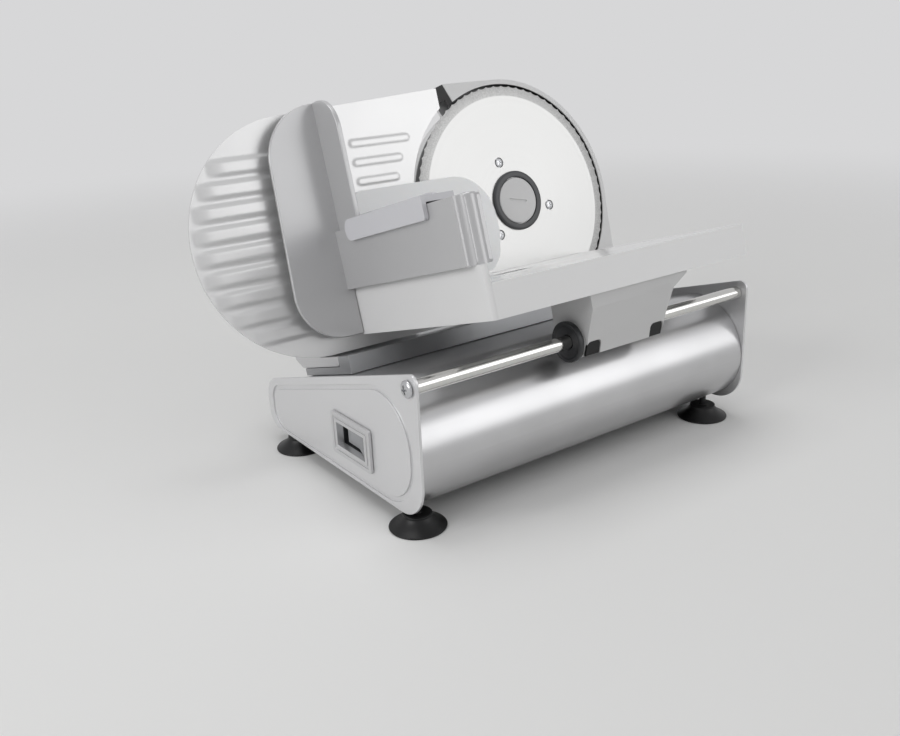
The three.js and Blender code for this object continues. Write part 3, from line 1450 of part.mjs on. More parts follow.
const hookWall = 3.2;
const hookRoof = 4.2;
const hookFrontV = -138;
const hookRoofBackV = -52;
const hookRailBackV = -35;
const hookRailHeight = 15;
const hookRailFrontRadius = 2;
const hookRailRearRadius = 7;
const hookFlangeRise = 3;
const hookFlangeSet = 10;
const hookFlangeRadius = 14;
const hookFlangeLift = 20;
function makePusherHook() {
  const outerLeft = beamLeftX - gap - hookWall;
  const innerRight = beamRightX + gap + hookWall;
  const roofW = beamTopW + columnLift + gap;
  const topW = roofW + hookRoof;
  const roof = block(outerLeft, innerRight, hookFrontV, hookRoofBackV, roofW, topW);
  const rail = alongX(rounded([
    [hookFrontV, topW - hookRailHeight, hookRailFrontRadius],
    [hookRailBackV, topW - hookRailHeight, hookRailRearRadius],
    [hookRailBackV, topW, hookRailRearRadius],
    [hookFrontV, topW, 0],
  ]), outerLeft, outerLeft + hookWall);
  const flange = alongX(rounded([
    [hookFrontV + hookFlangeSet, beamBottomW + hookFlangeLift, hookRailFrontRadius],
    [pusherFrontV - gap, beamBottomW + hookFlangeLift, 0],
    [pusherFrontV - gap, topW + hookFlangeRise, 0],
    [hookFrontV + hookFlangeSet, topW + hookFlangeRise, hookFlangeRadius],
  ]), innerRight - hookWall, innerRight);
  return addAll([roof, rail, flange]);
}
piece("pusher_hook", makePusherHook(), greyPlastic, tilted);

// The origin lies on the ground under the middle of the whole slicer
slicer.updateMatrixWorld(true);
const bounds = new THREE.Box3().setFromObject(slicer, true);
const middle = bounds.getCenter(new THREE.Vector3());
upright.position.set(-middle.x, -middle.y, -groundZ);
tilted.position.copy(upright.position);
slicer.updateMatrixWorld(true);

export default slicer;
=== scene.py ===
# An electric food slicer: tilted serrated blade, ribbed gauge plate and a food carriage on a chrome rod.
# Sizes in the sections of its pieces are millimetres, in the machine's own two frames.
from math import acos, asin, atan2, cos, degrees, hypot, pi, radians, sin, sqrt, tan

import bmesh
import bpy
from mathutils import Matrix, Vector


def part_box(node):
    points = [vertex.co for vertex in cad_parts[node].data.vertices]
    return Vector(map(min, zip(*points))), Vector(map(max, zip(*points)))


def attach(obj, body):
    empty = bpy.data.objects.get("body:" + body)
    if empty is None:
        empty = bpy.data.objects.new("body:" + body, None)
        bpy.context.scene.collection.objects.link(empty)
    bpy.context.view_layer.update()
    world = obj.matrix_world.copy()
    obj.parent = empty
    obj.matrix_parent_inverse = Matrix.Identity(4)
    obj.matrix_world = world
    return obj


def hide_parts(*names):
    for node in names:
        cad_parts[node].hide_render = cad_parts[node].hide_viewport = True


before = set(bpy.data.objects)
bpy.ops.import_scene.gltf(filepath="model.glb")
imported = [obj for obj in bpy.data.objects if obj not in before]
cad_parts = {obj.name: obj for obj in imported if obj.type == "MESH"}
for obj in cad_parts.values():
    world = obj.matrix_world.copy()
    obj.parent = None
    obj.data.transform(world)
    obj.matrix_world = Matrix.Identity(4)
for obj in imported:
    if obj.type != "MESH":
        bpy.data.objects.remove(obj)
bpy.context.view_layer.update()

# Camera and stage
# The photograph is taken from the front left, a little above, on a longish lens.
# The floor is one pale paper sweep that rises behind the slicer, and three softboxes light it, in metres.
MM = 0.001
CAMERA_PLACE = Vector((-414.81, -559.25, 303.83)) * MM
CAMERA_AZIMUTH = radians(-34.97)
CAMERA_ELEVATION = radians(20.13)
CAMERA_ROLL = radians(-2.59)
CAMERA_LENS, CAMERA_NEAR = 38.27, 0.01
SWEEP_HALF, SWEEP_BACK, SWEEP_BEND, SWEEP_TOP = 6, 2.2, 1.2, 5
FLOOR_NEAR, FLOOR_FAR = 0.4, 1.7
SHADOW_AIR = 0.5

camera_data = bpy.data.cameras.new("photo_camera")
camera_data.lens = CAMERA_LENS
camera_data.sensor_width = 36
camera_data.clip_start = CAMERA_NEAR
camera = bpy.data.objects.new("photo_camera", camera_data)
bpy.context.collection.objects.link(camera)
camera.matrix_world = (
    Matrix.Translation(CAMERA_PLACE) @ Matrix.Rotation(CAMERA_AZIMUTH, 4, "Z")
    @ Matrix.Rotation(pi / 2 - CAMERA_ELEVATION, 4, "X") @ Matrix.Rotation(CAMERA_ROLL, 4, "Z")
)
bpy.context.scene.camera = camera
bpy.context.scene.view_settings.view_transform = "Standard"


def colour(code):
    """sRGB hex to the linear colour that shaders take."""
    parts = [int(code[i:i + 2], 16) / 255 for i in (1, 3, 5)]
    linear = [p / 12.92 if p <= 0.04045 else ((p + 0.055) / 1.055) ** 2.4 for p in parts]
    return (*linear, 1)


def wired(tree, made, links):
    """Links inputs of a node to sources: an output, or a node that stands for its first output."""
    for key, source in links.items():
        tree.links.new(getattr(source, "outputs", [source])[0], made.inputs[key])


def node(tree, kind, settings, links):
    """Adds a shader node; settings name its properties or inputs, links its inputs and their sources."""
    made = tree.nodes.new("ShaderNode" + kind)
    for key, value in settings.items():
        if isinstance(key, str) and hasattr(made, key):
            setattr(made, key, value)
        else:
            made.inputs[key].default_value = value
    wired(tree, made, links)
    return made


def new_material(name, settings):
    """A material whose principled shader has the given inputs; returns material, tree and shader."""
    made = bpy.data.materials.new(name)
    made.use_nodes = True
    tree = made.node_tree
    shader = tree.nodes["Principled BSDF"]
    for key, value in settings.items():
        shader.inputs[key].default_value = value
    return made, tree, shader


def seen(tree):
    """One where the camera or a mirror looks, so that the pale backdrop adds no light to the slicer."""
    path = node(tree, "LightPath", {}, {})
    looked = node(tree, "Math", {"operation": "MAXIMUM"},
                  {0: path.outputs["Is Camera Ray"], 1: path.outputs["Is Glossy Ray"]})
    return node(tree, "Math", {"operation": "MAXIMUM"}, {0: looked, 1: path.outputs["Is Transmission Ray"]})


# Matt studio paper: it takes the slicer's soft shadow and fades to the even tone of the backdrop.
backdrop_tone = colour("#D7D7D8")
studio_paper, paper_tree, paper_shader = new_material("matt_studio_paper", {
    "Base Color": colour("#EDEDEC"), "Roughness": 0.6, "Specular IOR Level": 0.2})
paper_grain = node(paper_tree, "TexNoise", {"Scale": 900, "Detail": 3}, {})
paper_bump = node(paper_tree, "Bump", {"Strength": 0.02, "Distance": 0.5 * MM}, {"Height": paper_grain})
wired(paper_tree, paper_shader, {"Normal": paper_bump})
paper_place = node(paper_tree, "NewGeometry", {}, {})
paper_reach = node(paper_tree, "VectorMath", {"operation": "LENGTH"}, {0: paper_place})
paper_far = node(paper_tree, "MapRange", {
    "interpolation_type": "SMOOTHSTEP", "From Min": FLOOR_NEAR, "From Max": FLOOR_FAR},
    {"Value": paper_reach.outputs["Value"]})
paper_share = node(paper_tree, "Math", {"operation": "MULTIPLY"}, {0: paper_far, 1: seen(paper_tree)})
paper_glow = node(paper_tree, "Emission", {"Color": backdrop_tone}, {})
paper_mix = node(paper_tree, "MixShader", {}, {0: paper_share, 1: paper_shader, 2: paper_glow})
wired(paper_tree, paper_tree.nodes["Material Output"], {"Surface": paper_mix})

sweep_profile = [(-SWEEP_HALF, 0), (SWEEP_BACK, 0)]
sweep_profile += [(SWEEP_BACK + SWEEP_BEND * sin(radians(a)),
                   SWEEP_BEND - SWEEP_BEND * cos(radians(a))) for a in range(10, 91, 10)]
sweep_profile += [(SWEEP_BACK + SWEEP_BEND, SWEEP_TOP)]
turn_to_camera = Matrix.Rotation(CAMERA_AZIMUTH, 3, "Z")
sweep_points = [turn_to_camera @ Vector((x, y, z))
                for y, z in sweep_profile for x in (-SWEEP_HALF, SWEEP_HALF)]
sweep_faces = [(2 * i, 2 * i + 1, 2 * i + 3, 2 * i + 2) for i in range(len(sweep_profile) - 1)]
sweep = bpy.data.meshes.new("studio_sweep")
sweep.from_pydata(sweep_points, [], sweep_faces)
sweep.shade_smooth()
sweep.materials.append(studio_paper)
floor = bpy.data.objects.new("studio_sweep", sweep)
bpy.context.collection.objects.link(floor)

world = bpy.data.worlds.new("studio_air")
bpy.context.scene.world = world
world.use_nodes = True
air = world.node_tree.nodes["Background"]
air.inputs["Color"].default_value = backdrop_tone
air_strength = node(world.node_tree, "MapRange", {"To Min": SHADOW_AIR, "To Max": 1},
                    {"Value": seen(world.node_tree)})
wired(world.node_tree, air, {"Strength": air_strength})

for name, place, aim_height, power, width, height in (
    ("softbox_left", (-1.9, -0.15, 1.05), 0.12, 15, 1.2, 1),
    ("softbox_front", (1.35, -1.75, 0.95), 0.12, 9.1, 1.5, 1.4),
    ("softbox_top", (0, 0.3, 1.9), 0.1, 9.5, 1.4, 0.8),
):
    lamp = bpy.data.lights.new(name, "AREA")
    lamp.shape = "RECTANGLE"
    lamp.size = width
    lamp.size_y = height
    lamp.energy = power
    softbox = bpy.data.objects.new(name, lamp)
    bpy.context.collection.objects.link(softbox)
    aim = (Vector((0, 0, aim_height)) - Vector(place)).to_track_quat("-Z", "Y")
    softbox.matrix_world = Matrix.Translation(place) @ aim.to_matrix().to_4x4()

# Base shell
# A bent and welded body of satin silver sheet, open below, with a round front under the guide rod.
# It is one tube along the slicer; its deck leans back with the blade.
# GAP is the play left between neighbours, and cutting tools reach PAST a face.
BASE_LEFT, BASE_LENGTH, END_PLATE = 25, 301, 2
BASE_RIGHT = BASE_LEFT + BASE_LENGTH
BASE_FRONT, BASE_REAR, BASE_FLOOR, GROUND = -123.4, 88.5, 44.4, 34
DECK, SHELL_SHEET, SHELL_INSET, MOUTH_FRONT, MOUTH_REAR = 98, 2.5, 0.6, -96, 74
SHELL_ROUNDS = (42, 37.5, 12, 20)
GAP, PAST = 0.3, 6
TILT = radians(16.36)
ROD_CENTRE = ROD_V, ROD_W = -147.6, 95.2

plate_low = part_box("left_end_plate")[0]
rod_low, rod_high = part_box("guide_rod")
rod_y = (rod_low[1] + rod_high[1]) / 2 / MM
shift_x = plate_low[0] / MM - BASE_LEFT
shift_y = rod_y - (ROD_V * cos(TILT) + ROD_W * sin(TILT))
UPRIGHT = Matrix.Scale(MM, 4) @ Matrix.Translation((shift_x, shift_y, -GROUND))
TILTED = UPRIGHT @ Matrix.Rotation(-TILT, 4, "X")
PLACES = {
    "x": lambda a, b, along: (along, a, b),
    "v": lambda a, b, along: (a, along, b),
    "w": lambda a, b, along: (a, b, along),
}


def polar(centre, radius, turn):
    """The place at a radius and a turn in degrees round a centre."""
    return (centre[0] + radius * cos(radians(turn)), centre[1] + radius * sin(radians(turn)))


def arc(centre, radius, start, end, steps=24):
    return [polar(centre, radius, start + (end - start) * i / steps) for i in range(steps + 1)]


def rounded(corners, steps=12):
    """An outline from corners (a, b, fillet radius)."""
    points = []
    for i, (a, b, radius) in enumerate(corners):
        corner = Vector((a, b))
        if not radius:
            points.append((a, b))
            continue
        before = (Vector(corners[i - 1][:2]) - corner).normalized()
        after = (Vector(corners[(i + 1) % len(corners)][:2]) - corner).normalized()
        half = before.angle(after) / 2
        centre = corner + (before + after).normalized() * (radius / sin(half))
        first = corner + before * (radius / tan(half)) - centre
        last = corner + after * (radius / tan(half)) - centre
        start = degrees(atan2(first.y, first.x))
        turn = (degrees(atan2(last.y, last.x)) - start + 180) % 360 - 180
        points += arc(centre, radius, start, start + turn, steps)
    return points


def rectangle(a0, a1, b0, b1, radius=0):
    return rounded([(a0, b0, radius), (a1, b0, radius), (a1, b1, radius), (a0, b1, radius)], 8)


def new_piece(name, mesh_data):
    mesh = bpy.data.meshes.new(name)
    bmesh.ops.remove_doubles(mesh_data, verts=mesh_data.verts, dist=0.0005)
    bmesh.ops.recalc_face_normals(mesh_data, faces=mesh_data.faces)
    mesh_data.to_mesh(mesh)
    mesh_data.free()
    piece = bpy.data.objects.new(name, mesh)
    bpy.context.collection.objects.link(piece)
    return piece


def skinned(name, rings, capped=False, looped=False):
    """A skin through rings of points; a ring of one point closes an end, caps fill open ends."""
    skin = bmesh.new()
    placed = [[skin.verts.new(point) for point in ring] for ring in rings]
    if capped:
        skin.faces.new(placed[0])
        skin.faces.new(placed[-1])
    for ring, following in zip(placed, placed[1:] + placed[:1] if looped else placed[1:]):
        for k in range(max(len(ring), len(following))):
            corners = [ring[k % len(ring)], ring[(k + 1) % len(ring)],
                       following[(k + 1) % len(following)], following[k % len(following)]]
            face = list(dict.fromkeys(corners))
            if len(face) > 2:
                skin.faces.new(face)
    return new_piece(name, skin)


def prism(name, outline, axis, low, high):
    """An outline across one axis of the frame, filled from low to high along it."""
    ends = [[PLACES[axis](a, b, along) for a, b in outline] for along in (low, high)]
    return skinned(name, ends, capped=True)


def applied(piece):
    graph = bpy.context.evaluated_depsgraph_get()
    made = bpy.data.meshes.new_from_object(piece.evaluated_get(graph), preserve_all_data_layers=True,
                                           depsgraph=graph)
    old = piece.data
    piece.modifiers.clear()
    piece.data = made
    bpy.data.meshes.remove(old)
    return piece


def carved(piece, *tools, operation="DIFFERENCE"):
    """Cuts tools from a piece, or joins them to it, and clears them away."""
    for tool in tools:
        cut = piece.modifiers.new("cut", "BOOLEAN")
        cut.operation = operation
        cut.solver = "EXACT"
        cut.object = tool
    applied(piece)
    for tool in tools:
        bpy.data.objects.remove(tool)
    return piece


def eased(piece, edge, steps=3, angle=32):
    """Rounds the sharp edges of a piece, in millimetres."""
    rim = piece.modifiers.new("rim", "BEVEL")
    rim.width = edge
    rim.segments = steps
    rim.limit_method = "ANGLE"
    rim.angle_limit = radians(angle)
    return applied(piece)


def dressed(piece, place, material, body, node_name, edge=0.4, steps=2, angle=32):
    """Rounds the edges, moves the piece from its frame's millimetres into the scene and makes it ride."""
    if edge:
        eased(piece, edge, steps, angle)
    piece.data.transform(place)
    piece.data.shade_smooth()
    piece.data.set_sharp_from_angle(angle=radians(angle + 8))
    weights = piece.modifiers.new("weights", "WEIGHTED_NORMAL")
    weights.keep_sharp = True
    applied(piece)
    piece.data.materials.clear()
    piece.data.materials.append(material)
    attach(piece, body)
    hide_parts(node_name)


def height_at(y, w):
    """Upright height at y of a plane of the tilted frame."""
    return (w - y * sin(TILT)) / cos(TILT)


def side_outline(front, rear, foot, top, rounds, steps=24):
    """The base seen from its side: its top leans back; rounds go from the front's top round to the rear's."""
    front_round, toe_round, heel_round, rear_round = rounds
    return rounded([
        (front, height_at(front, top), front_round),
        (front, foot, toe_round),
        (rear, foot, heel_round),
        (rear, height_at(rear, top), rear_round),
    ], steps)


def brushed(name, code, settings, stretch, contrast, depth):
    """Metal with fine lines: stretch gives lines per metre along x, y and z; depth is in millimetres."""
    made, tree, shader = new_material(name, {"Base Color": colour(code), "Metallic": 1, **settings})
    place = node(tree, "TexCoord", {}, {}).outputs["Object"]
    lines = node(tree, "Mapping", {"Scale": stretch}, {"Vector": place})
    hair = node(tree, "TexNoise", {"Scale": 1, "Detail": 3, "Roughness": 0.6}, {"Vector": lines})
    cloud = node(tree, "TexNoise", {"Scale": 18, "Detail": 2}, {"Vector": place})
    base = settings["Roughness"]
    rough = node(tree, "MapRange", {"To Min": base - contrast, "To Max": base + contrast}, {"Value": hair})
    shade = node(tree, "MapRange", {
        "From Min": 0.3, "From Max": 0.7, "To Min": 0.94, "To Max": 1.03}, {"Value": cloud})
    tint = node(tree, "Mix", {
        "data_type": "RGBA", "blend_type": "MULTIPLY", "Factor": 1, 6: colour(code)}, {7: shade})
    bump = node(tree, "Bump", {"Strength": 0.25, "Distance": depth * MM}, {"Height": hair})
    wired(tree, shader, {"Roughness": rough, "Base Color": tint.outputs[2], "Normal": bump})
    return made


# Satin silver: rolled sheet brushed along its length under clear lacquer, so highlights spread in soft
# bands. The brush lines are drawn about 0.6 mm apart, coarser than real ones, so that they show.
satin_silver_sheet = brushed("satin_silver_sheet", "#C6C6C7", {"Metallic": 0.88, "Roughness": 0.3},
                             (14, 1600, 1600), 0.05, 0.02)
shell_left = BASE_LEFT + END_PLATE + GAP
shell_right = BASE_RIGHT - END_PLATE - GAP
room_rounds = [around - SHELL_SHEET for around in SHELL_ROUNDS]
shell = prism("shell_body", side_outline(
    BASE_FRONT + SHELL_INSET, BASE_REAR - SHELL_INSET, BASE_FLOOR, DECK, SHELL_ROUNDS),
    "x", shell_left, shell_right)
shell_room = prism("shell_room", side_outline(
    BASE_FRONT + SHELL_INSET + SHELL_SHEET, BASE_REAR - SHELL_INSET - SHELL_SHEET, BASE_FLOOR + SHELL_SHEET,
    DECK - SHELL_SHEET, room_rounds), "x", shell_left - PAST, shell_right + PAST)
shell_mouth = prism("shell_mouth", rectangle(
    MOUTH_FRONT, MOUTH_REAR, BASE_FLOOR - PAST, BASE_FLOOR + SHELL_SHEET + GAP),
    "x", shell_left - PAST, shell_right + PAST)
carved(shell, shell_room, shell_mouth)
dressed(shell, UPRIGHT, satin_silver_sheet, "base", "base_shell", 0.3)

# End plates
# Two flat side cheeks, a little larger than the body, die-cast and satin finished.
# A shallow line is sunk all round, close to the edge; the left cheek has the hole of the switch.
PLATE_TOP, PLATE_ROUNDS = 103.8, (6, 25, 14, 20)
LINE_WIDTH, LINE_DEPTH, LINE_TOP, LINE_ROUNDS = 3.2, 1.4, 98.2, (37, 34, 14, 14)
LINE_FROM_FRONT, LINE_FROM_REAR, LINE_FROM_FLOOR = 8.4, 8, 2.6
SWITCH_HOLE = (-61, -23, 65, 84)


def line_outline(inset):
    return side_outline(BASE_FRONT + LINE_FROM_FRONT + inset, BASE_REAR - LINE_FROM_REAR - inset,
                        BASE_FLOOR + LINE_FROM_FLOOR + inset, LINE_TOP - inset,
                        [around - inset for around in LINE_ROUNDS])


def grained(name, code, settings, grain, depth, tint=0.03):
    """A moulded or cast finish: grain is the size in mm of its fine texture, depth its height in mm."""
    made, tree, shader = new_material(name, {"Base Color": colour(code), **settings})
    place = node(tree, "TexCoord", {}, {}).outputs["Object"]
    broad = node(tree, "TexNoise", {"Scale": 25, "Detail": 2}, {"Vector": place})
    base = settings["Roughness"]
    rough = node(tree, "MapRange", {
        "From Min": 0.1, "From Max": 0.9, "To Min": base - 0.04, "To Max": base + 0.04}, {"Value": broad})
    shade = node(tree, "MapRange", {
        "From Min": 0.1, "From Max": 0.9, "To Min": 1 - tint, "To Max": 1}, {"Value": broad})
    mixed = node(tree, "Mix", {
        "data_type": "RGBA", "blend_type": "MULTIPLY", "Factor": 1, 6: colour(code)}, {7: shade})
    wired(tree, shader, {"Roughness": rough, "Base Color": mixed.outputs[2]})
    if depth:
        fine = node(tree, "TexNoise", {"Scale": 1 / (grain * MM), "Detail": 3}, {"Vector": place})
        bump = node(tree, "Bump", {"Strength": 0.4, "Distance": depth * MM}, {"Height": fine})
        wired(tree, shader, {"Normal": bump})
    return made


# Satin cast aluminium: blasted and clear coated, so it looks pale and even with a soft gleam.
satin_cast_plate = grained("satin_cast_plate", "#DEDEDF", {"Metallic": 0.55, "Roughness": 0.36}, 0.9, 0.02)
for side, plate_x, line_x in (("left", BASE_LEFT, BASE_LEFT - PAST),
                              ("right", BASE_RIGHT - END_PLATE, BASE_RIGHT - LINE_DEPTH)):
    cheek_outline = side_outline(BASE_FRONT, BASE_REAR, BASE_FLOOR, PLATE_TOP, PLATE_ROUNDS)
    cheek = prism(f"cheek_{side}", cheek_outline, "x", plate_x, plate_x + END_PLATE)
    groove = prism("groove", line_outline(0), "x", line_x, line_x + PAST + LINE_DEPTH)
    groove_core = prism("groove_core", line_outline(LINE_WIDTH), "x", line_x - PAST, line_x + 2 * PAST)
    carved(groove, groove_core)
    cuts = [groove]
    if side == "left":
        cuts.append(prism("switch_hole", rectangle(*SWITCH_HOLE), "x", plate_x - PAST, plate_x + PAST))
    carved(cheek, *cuts)
    dressed(cheek, UPRIGHT, satin_cast_plate, "base", f"{side}_end_plate", 0.3, 2, 50)

# Guide rod and its screws
# A ground and chromed steel rod that the food carriage slides on.
# A pan head screw with a cross recess holds it at each end.
ROD_RADIUS, ROD_CHAMFER = 4.7, 0.6
HEAD_RADIUS, HEAD_HEIGHT, HEAD_SIDE, HEAD_EDGE, SCREW_RADIUS, SCREW_LENGTH = 5.6, 3, 0.9, 0.4, 2, 11
RECESS_REACH, RECESS_HALF, RECESS_FLOOR = 2.9, 0.6, 1.4


def turned(name, profile, axis, centre, steps=64):
    """Spins points (radius, place along the axis) about an axis through centre."""
    return skinned(name, [[PLACES[axis](*polar(centre, radius, 360 * k / steps), along)
                           for k in range(steps if radius else 1)] for radius, along in profile])


def raised(profile, seat):
    return [(radius, seat + along) for radius, along in profile]


def crossed(screw, axis, centre, reach, half, low, high):
    """Cuts a cross recess into a screw head."""
    carved(screw, *[prism("recess", rectangle(centre[0] - a, centre[0] + a, centre[1] - b, centre[1] + b),
                          axis, low, high) for a, b in ((reach, half), (half, reach))])


# Hard chrome on ground steel: near mirror, with faint rings left by grinding, drawn 1 mm apart.
chromed_rod_steel = brushed("chromed_rod_steel", "#D6D5D2", {"Roughness": 0.13}, (900, 60, 60),
                            0.03, 0.01)
rod = turned("slide_rod", [
    (0, shell_left), (ROD_RADIUS - ROD_CHAMFER, shell_left), (ROD_RADIUS, shell_left + ROD_CHAMFER),
    (ROD_RADIUS, shell_right - ROD_CHAMFER), (ROD_RADIUS - ROD_CHAMFER, shell_right), (0, shell_right),
], "x", ROD_CENTRE)
dressed(rod, TILTED, chromed_rod_steel, "base", "guide_rod", 0)

# Zinc plated screw steel: bright with a little haze.
plated_screw_steel = grained("plated_screw_steel", "#C9CACC", {"Metallic": 1, "Roughness": 0.24}, 0.6, 0.01)
for side, face_x, out in (("left", BASE_LEFT - GAP, -1), ("right", BASE_RIGHT + GAP, 1)):
    dome = [(HEAD_RADIUS * cos(radians(a)),
             face_x + out * (HEAD_SIDE + (HEAD_HEIGHT - HEAD_SIDE) * sin(radians(a))))
            for a in range(0, 90, 10)]
    screw = turned(f"pan_screw_{side}", [
        (0, face_x - out * SCREW_LENGTH), (SCREW_RADIUS, face_x - out * SCREW_LENGTH), (SCREW_RADIUS, face_x),
        (HEAD_RADIUS - HEAD_EDGE, face_x), (HEAD_RADIUS, face_x + out * HEAD_EDGE), *dome,
        (0, face_x + out * HEAD_HEIGHT)], "x", ROD_CENTRE, 40)
    crossed(screw, "x", ROD_CENTRE, RECESS_REACH, RECESS_HALF,
            *sorted((face_x + out * RECESS_FLOOR, face_x + out * (HEAD_HEIGHT + PAST))))
    dressed(screw, TILTED, plated_screw_steel, "base", f"rod_screw_{side}", 0.12, 1)

# Feet
# Flared suction cups of black rubber, pressed on studs of the base.
# The soft lip grips a smooth worktop.
FOOT_YS, FOOT_XS = {"front": -104, "rear": 55}, {"left": 33, "right": 304}
FOOT_PROFILE = [(0, 1.6), (14, 0.9), (16.2, 0), (18.5, 0), (19, 0.5), (18.7, 1.3), (16.2, 2.3), (13.6, 4),
                (11.3, 6), (10, 7.6), (9.4, 8.7), (9.7, 9.3), (9.4, 9.9), (8.6, 10.1), (2.5, 10.1),
                (2.5, 18.4), (0, 18.4)]

# Black rubber: moulded and slightly dusty, so it has a dull sheen with no sharp highlight.
black_rubber = grained("black_rubber", "#101011", {"Roughness": 0.42, "Specular IOR Level": 0.35},
                       0.7, 0.03, 0.15)
for row, foot_y in FOOT_YS.items():
    for side, foot_x in FOOT_XS.items():
        foot = turned(f"suction_foot_{row}_{side}", raised(FOOT_PROFILE, GROUND), "w", (foot_x, foot_y), 48)
        dressed(foot, UPRIGHT, black_rubber, "base", f"foot_{row}_{side}", 0.25, 1)

# Switch
# A rocker switch snapped into the left cheek.
# Its silver painted frame rises in two steps round a grey rocker, a shallow V that tips on its hinge.
SWITCH_Y, SWITCH_Z = -42, 74.5
FRAME_OUT, STEP_OUT, COLLAR_IN, COLLAR_OVERLAP = 2.5, 1.7, 3, 1
ROCKER_HALF_LENGTH, ROCKER_HALF_HEIGHT, ROCKER_SHEET, ROCKER_LEAN = 15.5, 7.9, 3, 10
ROCKER_HIGH_X, ROCKER_HINGE_X, ROCKER_DEEP_X, ROCKER_BACK_X = 24.4, 29.4, 36, 28


def switch_outline(half_length, half_height, radius=0):
    return rectangle(SWITCH_Y - half_length, SWITCH_Y + half_length, SWITCH_Z - half_height,
                     SWITCH_Z + half_height, radius)


# Silver painted ABS: smooth, with a metallic sheen.
silver_painted_abs = grained("silver_painted_abs", "#D4D4D5", {"Metallic": 0.7, "Roughness": 0.32}, 0.8, 0.01)
bezel = prism("switch_frame", switch_outline(25, 15.5, 2), "x", BASE_LEFT - FRAME_OUT, BASE_LEFT - GAP)
step_ring = prism("step_ring", switch_outline(22.2, 12.7, 1.2), "x", BASE_LEFT - PAST,
                  BASE_LEFT - STEP_OUT)
carved(step_ring, prism("step_core", switch_outline(20.6, 11.1, 1), "x", BASE_LEFT - 2 * PAST, BASE_LEFT))
collar = prism("collar", switch_outline(18.7, 9.2), "x", BASE_LEFT - COLLAR_OVERLAP, BASE_LEFT + COLLAR_IN)
carved(bezel, collar, operation="UNION")
carved(bezel, step_ring,
       prism("opening", switch_outline(18, 8.5), "x", BASE_LEFT - PAST, BASE_LEFT + PAST))
dressed(bezel, UPRIGHT, silver_painted_abs, "base", "switch_bezel", 0.35)

# Grey rocker plastic: polished in the mould, with a sharp small highlight on its shallow V.
glossy_rocker_grey = grained("glossy_rocker_grey", "#A9AAAC", {"Roughness": 0.22}, 1, 0.005)
rocker_front, rocker_rear = SWITCH_Y - ROCKER_HALF_LENGTH, SWITCH_Y + ROCKER_HALF_LENGTH
rocker_rear_x = ROCKER_HIGH_X + 2 * ROCKER_HALF_LENGTH * tan(radians(ROCKER_LEAN))
rocker = prism("rocker_key", [
    (ROCKER_HIGH_X, rocker_front), (ROCKER_HINGE_X, SWITCH_Y), (rocker_rear_x, rocker_rear),
    (rocker_rear_x + ROCKER_SHEET, rocker_rear), (ROCKER_DEEP_X, SWITCH_Y), (ROCKER_BACK_X, rocker_front),
], "w", SWITCH_Z - ROCKER_HALF_HEIGHT, SWITCH_Z + ROCKER_HALF_HEIGHT)
dressed(rocker, UPRIGHT, glossy_rocker_grey, "rocker", "switch_rocker", 0.6, 3)

# Platform under the blade
# A low silver box of anodised sheet, screwed to the deck.
# The lower edge of the blade turns in a slot of its front; a step at its left takes the tower's skirt.
PLATFORM_LEFT, PLATFORM_RIGHT, PLATFORM_FRONT, PLATFORM_BACK, PLATFORM_TOP = 56, 323.4, -20, 56, 112
PLATFORM_SHEET, SLOT_FRONT = 3, -4.5
SKIRT_SHEET, SKIRT_FRONT, SKIRT_BOTTOM = 2.7, -2.5, 104.3
BLADE_X, BLADE_W, RECESS_RADIUS, RECESS_BACK = 250, 200, 96.3, 5
BLADE_CENTRE = (BLADE_X, BLADE_W)


def box(name, x0, x1, v0, v1, w0, w1):
    return prism(name, rectangle(x0, x1, v0, v1), "w", w0, w1)


def barrel(name, radius, axis, low, high, centre, steps=64):
    return turned(name, [(0, low), (radius, low), (radius, high), (0, high)], axis, centre, steps)


# Satin anodised face, brushed along its length; its colour is painted darker than the body's, a painted shade
# for a face that looks up and back.
painted_shade_satin_platform = brushed("painted_shade_satin_platform", "#A6A7A9", {"Metallic": 0.9, "Roughness": 0.34},
                              (12, 1400, 1400), 0.05, 0.02)
platform = box("platform_box", PLATFORM_LEFT, PLATFORM_RIGHT, PLATFORM_FRONT, PLATFORM_BACK, DECK + GAP,
               PLATFORM_TOP)
step_right = PLATFORM_LEFT + SKIRT_SHEET + GAP
carved(platform,
       box("platform_room", step_right + PLATFORM_SHEET, PLATFORM_RIGHT - PLATFORM_SHEET,
           PLATFORM_FRONT + PLATFORM_SHEET, PLATFORM_BACK - PLATFORM_SHEET, DECK - PAST,
           PLATFORM_TOP - PLATFORM_SHEET),
       barrel("blade_slot", RECESS_RADIUS, "v", SLOT_FRONT, RECESS_BACK, BLADE_CENTRE, 160),
       box("skirt_step", PLATFORM_LEFT - PAST, step_right, SKIRT_FRONT - GAP,
           PLATFORM_BACK + PAST, SKIRT_BOTTOM - GAP, PLATFORM_TOP + PAST))
dressed(platform, TILTED, painted_shade_satin_platform, "base", "drive_platform", 0.8, 3)

# Blade housing
# A pale moulded dish screwed to the platform; it carries the bearing of the blade.
# Its raised rim follows the blade closely and ends at a slanted face on the left.
HOUSING_FRONT, HOUSING_BACK, HOUSING_SHEET = -1, 22, 3
HOUSING_RIM, HOUSING_LEFT_RIM, HOUSING_END, HOUSING_RIGHT = 100, 88, 199.8, 347.5
FOOT_LEFT, CORNER_DROP, SPINDLE_HOLE = 222, 49.5, 14.3
CUT_TURN = 117
cut_place = polar((0, 0), RECESS_RADIUS, CUT_TURN)


